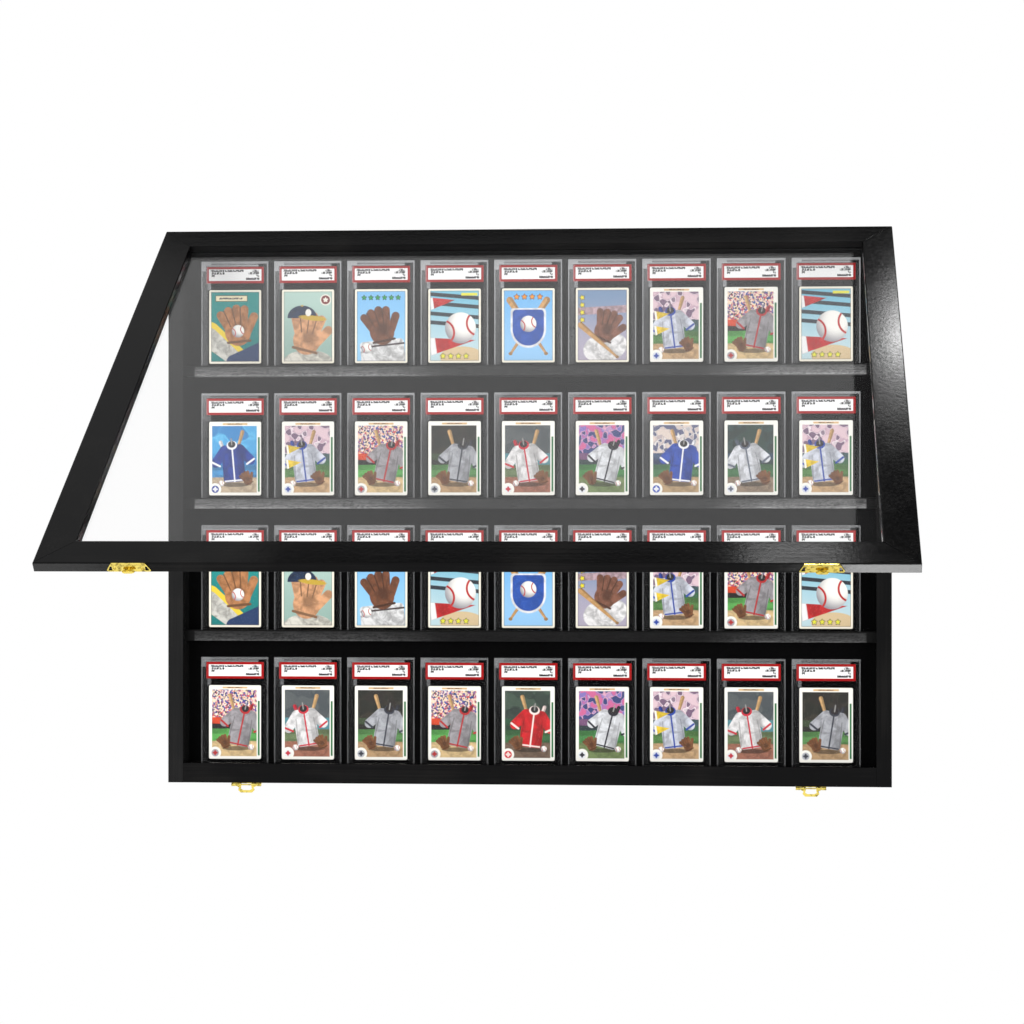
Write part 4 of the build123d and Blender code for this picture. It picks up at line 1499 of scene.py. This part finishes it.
@dataclass
class Hinges:
    """Two butt hinges with their pins and screws."""

    palette: Palette
    ease: float = 0.15 * MM

    def build(self) -> None:
        """Builds and dresses the pieces."""
        brass = self.palette.brass
        for side in ("left", "right"):
            for share in ("case", "door"):
                node = f"hinge_{share}_leaf_{side}"
                softened(node, f"{node}_pressing", brass, self.ease, angle=35.0)
        softened("hinge_pins", "hinge_pin_rods", brass, self.ease, angle=ROD_ANGLE)
        swung = (0, math.cos(SWING), -math.sin(SWING))
        for node, outward in (("hinge_case_screws", (0, -1, 0)), ("hinge_door_screws", swung)):
            ScrewSet(node, "brass", brass, outward, head=2.3, shank=1.1).build()


@dataclass
class Catches:
    """Two hasp catches: a base and a hasp on the case, and a plate with a turn knob on the door."""

    palette: Palette
    ease: float = 0.18 * MM
    pin_ease: float = 0.12 * MM

    def build(self) -> None:
        """Builds and dresses the pieces."""
        brass = self.palette.brass
        for side in ("left", "right"):
            for part in ("catch_base", "hasp_leaf", "catch_plate", "turn_knob"):
                node = f"{part}_{side}"
                softened(node, f"{node}_pressing", brass, self.ease)
        softened("hasp_pins", "hasp_pin_rods", brass, self.pin_ease, angle=ROD_ANGLE)
        swung = (0, -math.sin(SWING), -math.cos(SWING))
        for node, outward in (("catch_base_screws", (0, 0, -1)), ("catch_plate_screws", swung)):
            screws = ScrewSet(node, "brass", brass, outward, 2.0, 0.9, rise=1.0, domed=True)
            screws.build()


class Print(Enum):
    """The card designs, each with its finish."""

    TEAL = StillLife(
        "card_teal", Motif.MITT_AND_PENNANT, *shades("168e8a 0e7876 be8254 1a3660 e8cc3c"),
    )
    SAGE = StillLife("card_sage", Motif.CAP_ON_MITT, *shades("b2cec4 96b4aa e2a87c 1c3454 781e22"))
    SKY = StillLife("card_sky", Motif.MITT_ON_BASE, *shades("80beec 96cef2 7a4a32 3c3032 22964c"))
    STRIPED = StillLife(
        "card_striped", Motif.BALL_AND_FLAGS, *shades("78bed6 bed8de c8282c f0f0f0 e8e246"),
    )
    ROYAL_BATS = StillLife(
        "card_royal_bats", Motif.SHIELD_AND_BATS, *shades("74b8ec 96c8f0 d6a468 2c58b2 f09628"),
    )
    DUSK = StillLife("card_dusk", Motif.PLATE_AND_MITT, *shades("7892b2 b0a8ba 865846 34222a ecdc3c"))
    FESTIVAL = FieldView(
        "card_festival", shades("e0c4cc ba96aa f6e8ec 786078"),
        *shades("40585c 346042 548046 ceaa80 d8dce8 2846a0"), -7.0, -0.02, shades("f0ce3c f0ce3c"),
        crowd_size=12.0,
    )
    CONFETTI = FieldView(
        "card_confetti", shades("f0ecec d2463c 3c5aaa 1e1a22 f4dcbe"),
        *shades("d64a2a 1a181a 5ca854 dec08e a8a4a8 b0282c"), 12.0, 0.03,
    )
    SAPPHIRE = FieldView(
        "card_sapphire", shades("46a0d6 60bae6 3282be"),
        *shades("3e96ce 2878b4 3a8cc4 c4b096 1c3c96 ececf0"), -5.0, 0.0, crowd_size=7.0,
    )
    PEWTER = FieldView(
        "card_pewter", shades("262422 36322c 1e221e"),
        *shades("3a4a34 222422 588c50 be9c74 b6b8be 343844"), 9.0, 0.03, crowd_size=9.0,
    )
    SCARLET = FieldView(
        "card_scarlet", shades("4c5256 424a4e 565c5e"),
        *shades("548c96 4e848e 687a56 a8705c eceaea c42a3c"), -9.0, 0.02, crowd_size=8.0,
    )
    MAGENTA = FieldView(
        "card_magenta", shades("ce6896 7878be e2aabe 3c4678"),
        *shades("785478 28383c 46864a 788c5a eaecf0 22222e"), 14.0, 0.02, crowd_size=14.0,
    )
    CREAM_BLUE = FieldView(
        "card_cream_blue", shades("decec4 b4a6aa f2ece6 606482"),
        *shades("465a78 2c3854 467850 bea078 3054b8 f0f0f4"), 6.0, 0.04, crowd_size=16.0,
    )
    SLATE = FieldView(
        "card_slate", shades("283e38 364e52 223230"),
        *shades("2e465c 223438 407048 96826e e2e4ea 5a6274"), -10.0, 0.01, crowd_size=10.0,
    )
    CRIMSON = FieldView(
        "card_crimson", shades("34423c 283432 425448"),
        *shades("2c543c 243c30 3c6c42 786454 d6222a f6e2dc"), 7.0, 0.02, crowd_size=8.0,
    )


PORTRAITS = (Print.TEAL, Print.SAGE, Print.SKY, Print.STRIPED, Print.ROYAL_BATS, Print.DUSK)
UPPER_CARDS = (*PORTRAITS, Print.FESTIVAL, Print.CONFETTI, Print.STRIPED)
# The frost of each row's shells: on the rim at mid-height and at its top, the painted highlight along
# the sides, on the band and on the corner block. The frost differs from row to row as painted light
# that sets how bright each row reads, highest in the top row, and the side highlight is strongest in
# the two rows behind the raised door.
SHELLS = {
    "top_row": ShellPlastic("moulded_shell_top", (0.50, 0.78), 0.11, 0.46, 0.90),
    "second_row": ShellPlastic("moulded_shell_second", (0.35, 0.46), 0.08, 0.13, 0.25),
    "third_row": ShellPlastic("moulded_shell_third", (0.17, 0.34), 0.012, 0.26, 0.33),
    "bottom_row": ShellPlastic("moulded_shell_bottom", (0.16, 0.21), 0.012, 0.15, 0.28),
}
ROWS = (
    ("top_row", UPPER_CARDS),
    (
        "second_row",
        (
            Print.SAPPHIRE, Print.FESTIVAL, Print.CONFETTI, Print.PEWTER, Print.SCARLET,
            Print.MAGENTA, Print.CREAM_BLUE, Print.SLATE, Print.FESTIVAL,
        ),
    ),
    ("third_row", UPPER_CARDS),
    (
        "bottom_row",
        (
            Print.CONFETTI, Print.SCARLET, Print.PEWTER, Print.CONFETTI, Print.CRIMSON,
            Print.MAGENTA, Print.FESTIVAL, Print.SCARLET, Print.PEWTER,
        ),
    ),
)


@dataclass
class SlabRow:
    """One row of nine slabs: the welded clear shells, the labels and the cards inside them.

    Sizes are in millimetres, and every height is above the slab's foot.
    """

    name: str
    lip_top: float
    cards: Sequence[Print]
    inks: Mapping[Print, Material]
    label: Material
    stock: Material
    shell: Material
    back: Material
    pitch: float = 88.85
    groove: float = 10.4
    card_foot: float = 13.4
    card_face: float = -15.5
    label_foot: float = 110.4
    label_face: float = -15.4
    face: float = -18.2
    seam: float = -15.0
    well_front: float = -15.6

    def build(self) -> None:
        """Builds the row's pieces."""
        count = len(self.cards)
        across = (np.arange(count) - (count - 1) / 2) * self.pitch
        feet = np.stack([across, np.full(count, self.lip_top - self.groove)], axis=1)
        kinds = sorted(set(self.cards), key=lambda card: card.name)
        cards = paper_plates(
            (feet + (0, self.card_foot)) * MM, CARD_WIDE * MM, CARD_TALL * MM, self.card_face * MM,
            0.4 * MM, 1.9 * MM, [kinds.index(card) + 1 for card in self.cards],
        )
        inks = [self.inks[card] for card in kinds]
        printed = cards.object(f"{self.name}_printed_cards", [self.stock, *inks])
        self.put(printed, "cards")
        labels = paper_plates(
            (feet + (0, self.label_foot)) * MM, LABEL_WIDE * MM, LABEL_TALL * MM,
            self.label_face * MM, 0.3 * MM, 0.3 * MM, [1] * count,
        )
        printed = labels.object(f"{self.name}_printed_labels", [self.stock, self.label])
        self.put(printed, "labels")
        front = self.shells(feet).object(f"{self.name}_moulded_fronts", [self.shell])
        self.put(front, "slab_fronts")
        backs = f"{self.name}_slab_backs"
        rear = softened(backs, f"{self.name}_moulded_backs", self.back, 0.3 * MM)
        for clear in (front, rear):
            see_through(clear)

    def put(self, piece: Object, part: str) -> None:
        """Settles a piece in the place of the row's solid for that part."""
        settle(piece, "case", [f"{self.name}_{part}"])

    def shells(self, feet: np.ndarray) -> Surface:
        """The front shells: two grids over the slab's outline, joined round their edges.

        The front's depth is the face less a chamfer round the edge, a shoulder inside the rim, and two
        windows with a bar between them, each a product of ramps across and up. The back is the seam,
        with wells for the card and the label cut in by the same product. The grid's lines fall on
        the ramps' ends, or close to them.

        Args:
            feet: the (x, z) of each slab's lower middle.

        Returns:
            The surface.
        """
        half, top = SLAB_WIDE / 2, SLAB_TALL
        edge, slope = 0.3, 0.6
        card, label, window, shoulder = 32.2, 35.6, 37.8, 39.4
        runs = ((card, edge), (label, edge), (window, slope), (shoulder, edge), (half, edge))
        right = np.array([place for end, run in runs for place in (end - run, end)])
        x = np.concatenate([-right[::-1], [0.0], right])
        up = [0, 0.3, 1.3, 1.6, 3.0, 3.6, 12.9, 13.2, 60.0, 102.5, 102.8, 105.0, 105.4, 107.2, 107.6]
        z = np.array(up + [109.9, 110.2, 130.5, 130.8, 132.9, 133.5, 134.9, 135.2, top - 0.3, top])
        rim = np.outer(between(z, 0, top, edge), between(x, -half, half, edge))
        raised = np.outer(between(z, 1.3, top - 1.3, edge), between(x, -shoulder, shoulder, edge))
        panes = between(z, 3.0, 105.4, slope) + between(z, 107.2, 133.5, slope)
        windows = np.outer(panes, between(x, -window, window, slope))
        front = self.face + 0.3 * (1 - rim) + 0.2 * raised + 0.3 * windows
        wells = np.outer(between(z, 12.9, 102.8, edge), between(x, -card, card, edge))
        wells += np.outer(between(z, 109.9, 130.8, edge), between(x, -label, label, edge))
        back = self.seam + (self.well_front - self.seam) * wells
        across, high = np.meshgrid(x, z)
        grids = np.stack([np.stack([across, side, high], axis=2) for side in (front, back)])
        one = grids.reshape(-1, 3)
        index = np.arange(len(one)).reshape(2, len(z), len(x))
        faces = np.concatenate([self.quads(index[0]), self.quads(index[1])[:, ::-1], self.border(index)])
        shift = np.stack([feet[:, 0], np.zeros(len(feet)), feet[:, 1]], axis=1)
        points = (one[None] + shift[:, None]).reshape(-1, 3) * MM
        offsets = np.arange(len(feet))[:, None, None] * len(one)
        chart = np.tile(np.stack([one[:, 0], one[:, 2]], axis=1) / SLAB_TALL, (len(feet), 1))
        return Surface(points, (faces[None] + offsets).reshape(-1, 4).tolist(), chart)

    @staticmethod
    def quads(index: np.ndarray) -> np.ndarray:
        """The faces of a grid whose rows go up and whose columns go right, facing -Y."""
        return np.stack(
            [index[:-1, :-1], index[:-1, 1:], index[1:, 1:], index[1:, :-1]], axis=2
        ).reshape(-1, 4)

    @staticmethod
    def border(index: np.ndarray) -> np.ndarray:
        """The faces that join two grids round their outlines."""
        ring = [
            np.concatenate(
                [side[0, :-1], side[:-1, -1], side[-1, :0:-1], side[:0:-1, 0]]
            ) for side in index
        ]
        front, back = ring
        return np.stack([front, back, np.roll(back, -1), np.roll(front, -1)], axis=1)


@dataclass
class Studio:
    """The floor, the soft lights, the world and the camera."""

    floor_height: float = -1.35
    floor_radius: float = 1.9
    surround: float = 0.42
    camera_at: Colour = (0.27966, -2.84137, -0.27257)
    yaw: float = math.radians(3.57)
    pitch: float = math.radians(0.14)
    lens: float = 83.3
    sensor: float = 36.0
    shift: float = -0.10

    def build(self) -> None:
        """Builds the studio."""
        scene = bpy.context.scene
        scene.view_settings.view_transform = "Standard"
        self.world(scene)
        self.floor()
        self.camera(scene)
        middle = (0.0, 0.0, -0.27)
        for name, at, size, power in (
            ("key_light", (-1.6, -2.4, -0.1), (1.6, 1.6), 64.0),
            ("fill_light", (1.9, -2.4, -0.5), (1.4, 1.8), 36.0),
            ("back_light", (0.0, 2.2, 1.2), (1.8, 1.4), 40.0),
        ):
            self.soft_box(name, at, middle, size, power, "diffuse")
        above, below = 1.3, -1.3
        self.flag("side_flag", (0.436, 1.6), (-0.9, 1.5), above)
        self.flag("front_flag", (-0.56, 0.436), (-0.9, -0.072), above)
        self.flag("rear_flag", (-0.80, 0.436), (0.472, 1.5), above)
        self.flag("low_flag", (-1.3, 1.3), (-2.5, -1.4), below)
        glints = [
            self.soft_box(name, at, towards, size, power, "glossy")
            for name, at, towards, size, power in (
                ("stile_glint", (0.53, 0.293, 1.28), (0.42, -0.21, -0.07), (0.08, 0.12), 1.5),
                ("rail_glint", (0.335, -0.118, 1.28), (0.31, -0.54, -0.31), (0.16, 0.07), 0.75),
                ("underside_glint", (0.455, -0.80, -1.10), (0.40, -0.53, -0.285), (0.16, 0.26), 7.0),
                (
                    "left_underside_glow", (-0.74, -0.80, -1.10), (-0.41, -0.53, -0.285), (0.26, 0.26),
                    1.3,
                ),
            )
        ]
        self.only_on("door_underside", ("door_bottom_rail_board",), glints[2:])

    def only_on(self, name: str, pieces: Sequence[str], lights: Sequence[Object]) -> None:
        """Keeps some lights to a few pieces.

        Args:
            name: what the pieces are called together.
            pieces: their names.
            lights: the lights.
        """
        lit = bpy.data.collections.new(name)
        for piece in pieces:
            lit.objects.link(bpy.data.objects[piece])
        for light in lights:
            light.light_linking.receiver_collection = lit

    def world(self, scene: bpy.types.Scene) -> None:
        """Makes a white surround, which is dimmer for matt surfaces alone."""
        recipe = Recipe("studio_surround", bpy.data.worlds)
        rays = recipe.node("ShaderNodeLightPath").socket.node.outputs
        camera, glossy, through = (
            Signal(recipe, rays[f"Is {kind} Ray"]) for kind in ("Camera", "Glossy", "Transmission")
        )
        clamped = {"operation": "ADD", "use_clamp": True}
        seen = recipe.node("ShaderNodeMath", clamped, {0: camera + glossy, 1: through})
        dim, bright = (
            recipe.node("ShaderNodeBackground", None, {"Color": (1.0, 1.0, 1.0), "Strength": strength})
            for strength in (self.surround, 1.0)
        )
        scene.world = recipe.finish(recipe.blend(seen, dim, bright), "ShaderNodeOutputWorld")

    def flag(
        self, name: str, across: tuple[float, float], deep: tuple[float, float], height: float
    ) -> None:
        """A black card that only reflections see: a grid of even steps in its own plane.

        Args:
            name: its name.
            across: its ends along X.
            deep: its ends along Y.
            height: where it lies.
        """
        x, y = np.meshgrid(np.linspace(*across, 8), np.linspace(*deep, 12))
        points = np.stack([x, y, np.full_like(x, height)], axis=2).reshape(-1, 3)
        faces = SlabRow.quads(np.arange(len(points)).reshape(x.shape))[:, ::-1].tolist()
        recipe = Recipe(f"{name}_black")
        nap = recipe.noise(recipe.place(), 40.0)
        tones = recipe.tint(nap, (0.001, 0.001, 0.001), (0.003, 0.003, 0.003))
        black = recipe.surface(Base_Color=tones, Roughness=1.0)
        card = Surface(points, faces).object(name, [recipe.finish(black)], smooth=False)
        card.visible_camera = False
        card.visible_diffuse = False
        card.visible_transmission = False
        card.visible_shadow = False

    def floor(self) -> None:
        """A round pale floor: rings of points at even steps from the middle, each at the same height."""
        around, rings = 64, np.linspace(0.05, 1.0, 12) * self.floor_radius
        angle = np.linspace(0, math.tau, around, endpoint=False)
        flat = np.stack(
            [np.outer(rings, np.cos(angle)), np.outer(rings, np.sin(angle))], axis=2
        ).reshape(-1, 2)
        points = np.column_stack([flat, np.full(len(flat), self.floor_height)])
        index = np.arange(len(points)).reshape(len(rings), around)
        ahead = np.roll(index, -1, axis=1)
        faces = np.stack([index[:-1], index[1:], ahead[1:], ahead[:-1]], axis=2).reshape(-1, 4).tolist()
        recipe = Recipe("pale_floor")
        grain = recipe.noise(recipe.place(), 30.0, 3.0, 0.5)
        shader = recipe.surface(
            Base_Color=recipe.tint(
                grain, (0.86, 0.86, 0.86), (0.9, 0.9, 0.9)
            ), Roughness=0.8 + 0.1 * grain
        )
        surface = Surface(points, faces + [index[0].tolist()])
        surface.object("studio_floor", [recipe.finish(shader)], smooth=False)

    def camera(self, scene: bpy.types.Scene) -> None:
        """Places the camera."""
        data = bpy.data.cameras.new("camera")
        data.lens = self.lens
        data.sensor_width = self.sensor
        data.shift_x = self.shift
        data.clip_end = 50.0
        camera = bpy.data.objects.new("camera", data)
        camera.location = self.camera_at
        camera.rotation_euler = (math.pi / 2 + self.pitch, 0.0, self.yaw)
        scene.collection.objects.link(camera)
        scene.camera = camera

    def soft_box(
        self, name: str, at: Colour, towards: Colour, size: tuple[
            float, float
        ], power: float, lights: str
    ) -> Object:
        """An area light.

        Args:
            name: its name.
            at: where it stands.
            towards: the place that it faces.
            size: its width and height.
            power: its power, in watts.
            lights: "diffuse" for matt surfaces, "glossy" for reflections alone.

        Returns:
            The light.
        """
        data = bpy.data.lights.new(name, "AREA")
        data.shape = "RECTANGLE"
        data.size, data.size_y = size
        data.energy = power
        light = bpy.data.objects.new(name, data)
        light.location = at
        direction = np.array(towards) - np.array(at)
        pitch = math.atan2(math.hypot(direction[0], direction[1]), -direction[2])
        light.rotation_euler = (pitch, 0.0, math.atan2(-direction[0], direction[1]))
        light.visible_camera = False
        light.visible_transmission = False
        light.visible_glossy = lights == "glossy"
        light.visible_diffuse = lights == "diffuse"
        bpy.context.scene.collection.objects.link(light)
        return light


def main() -> None:
    """Builds every sub-assembly."""
    logging.basicConfig(level=logging.INFO, format="%(name)s: %(message)s")
    palette = Palette.mixed()
    Carcass(palette).build()
    Door(palette).build()
    Hinges(palette).build()
    Catches(palette).build()
    used = {card for _, cards in ROWS for card in cards}
    inks = {card: card.value.material() for card in sorted(used, key=lambda card: card.name)}
    label = LabelPaper("grading_label").material()
    stock = CardStock("card_pulp").material()
    back = ShellPlastic("moulded_shell_back").material()
    for (name, cards), lip_top in zip(ROWS, LIP_TOPS):
        SlabRow(name, lip_top, cards, inks, label, stock, SHELLS[name].material(), back).build()
    Studio().build()


if __name__ == "__main__":
    main()
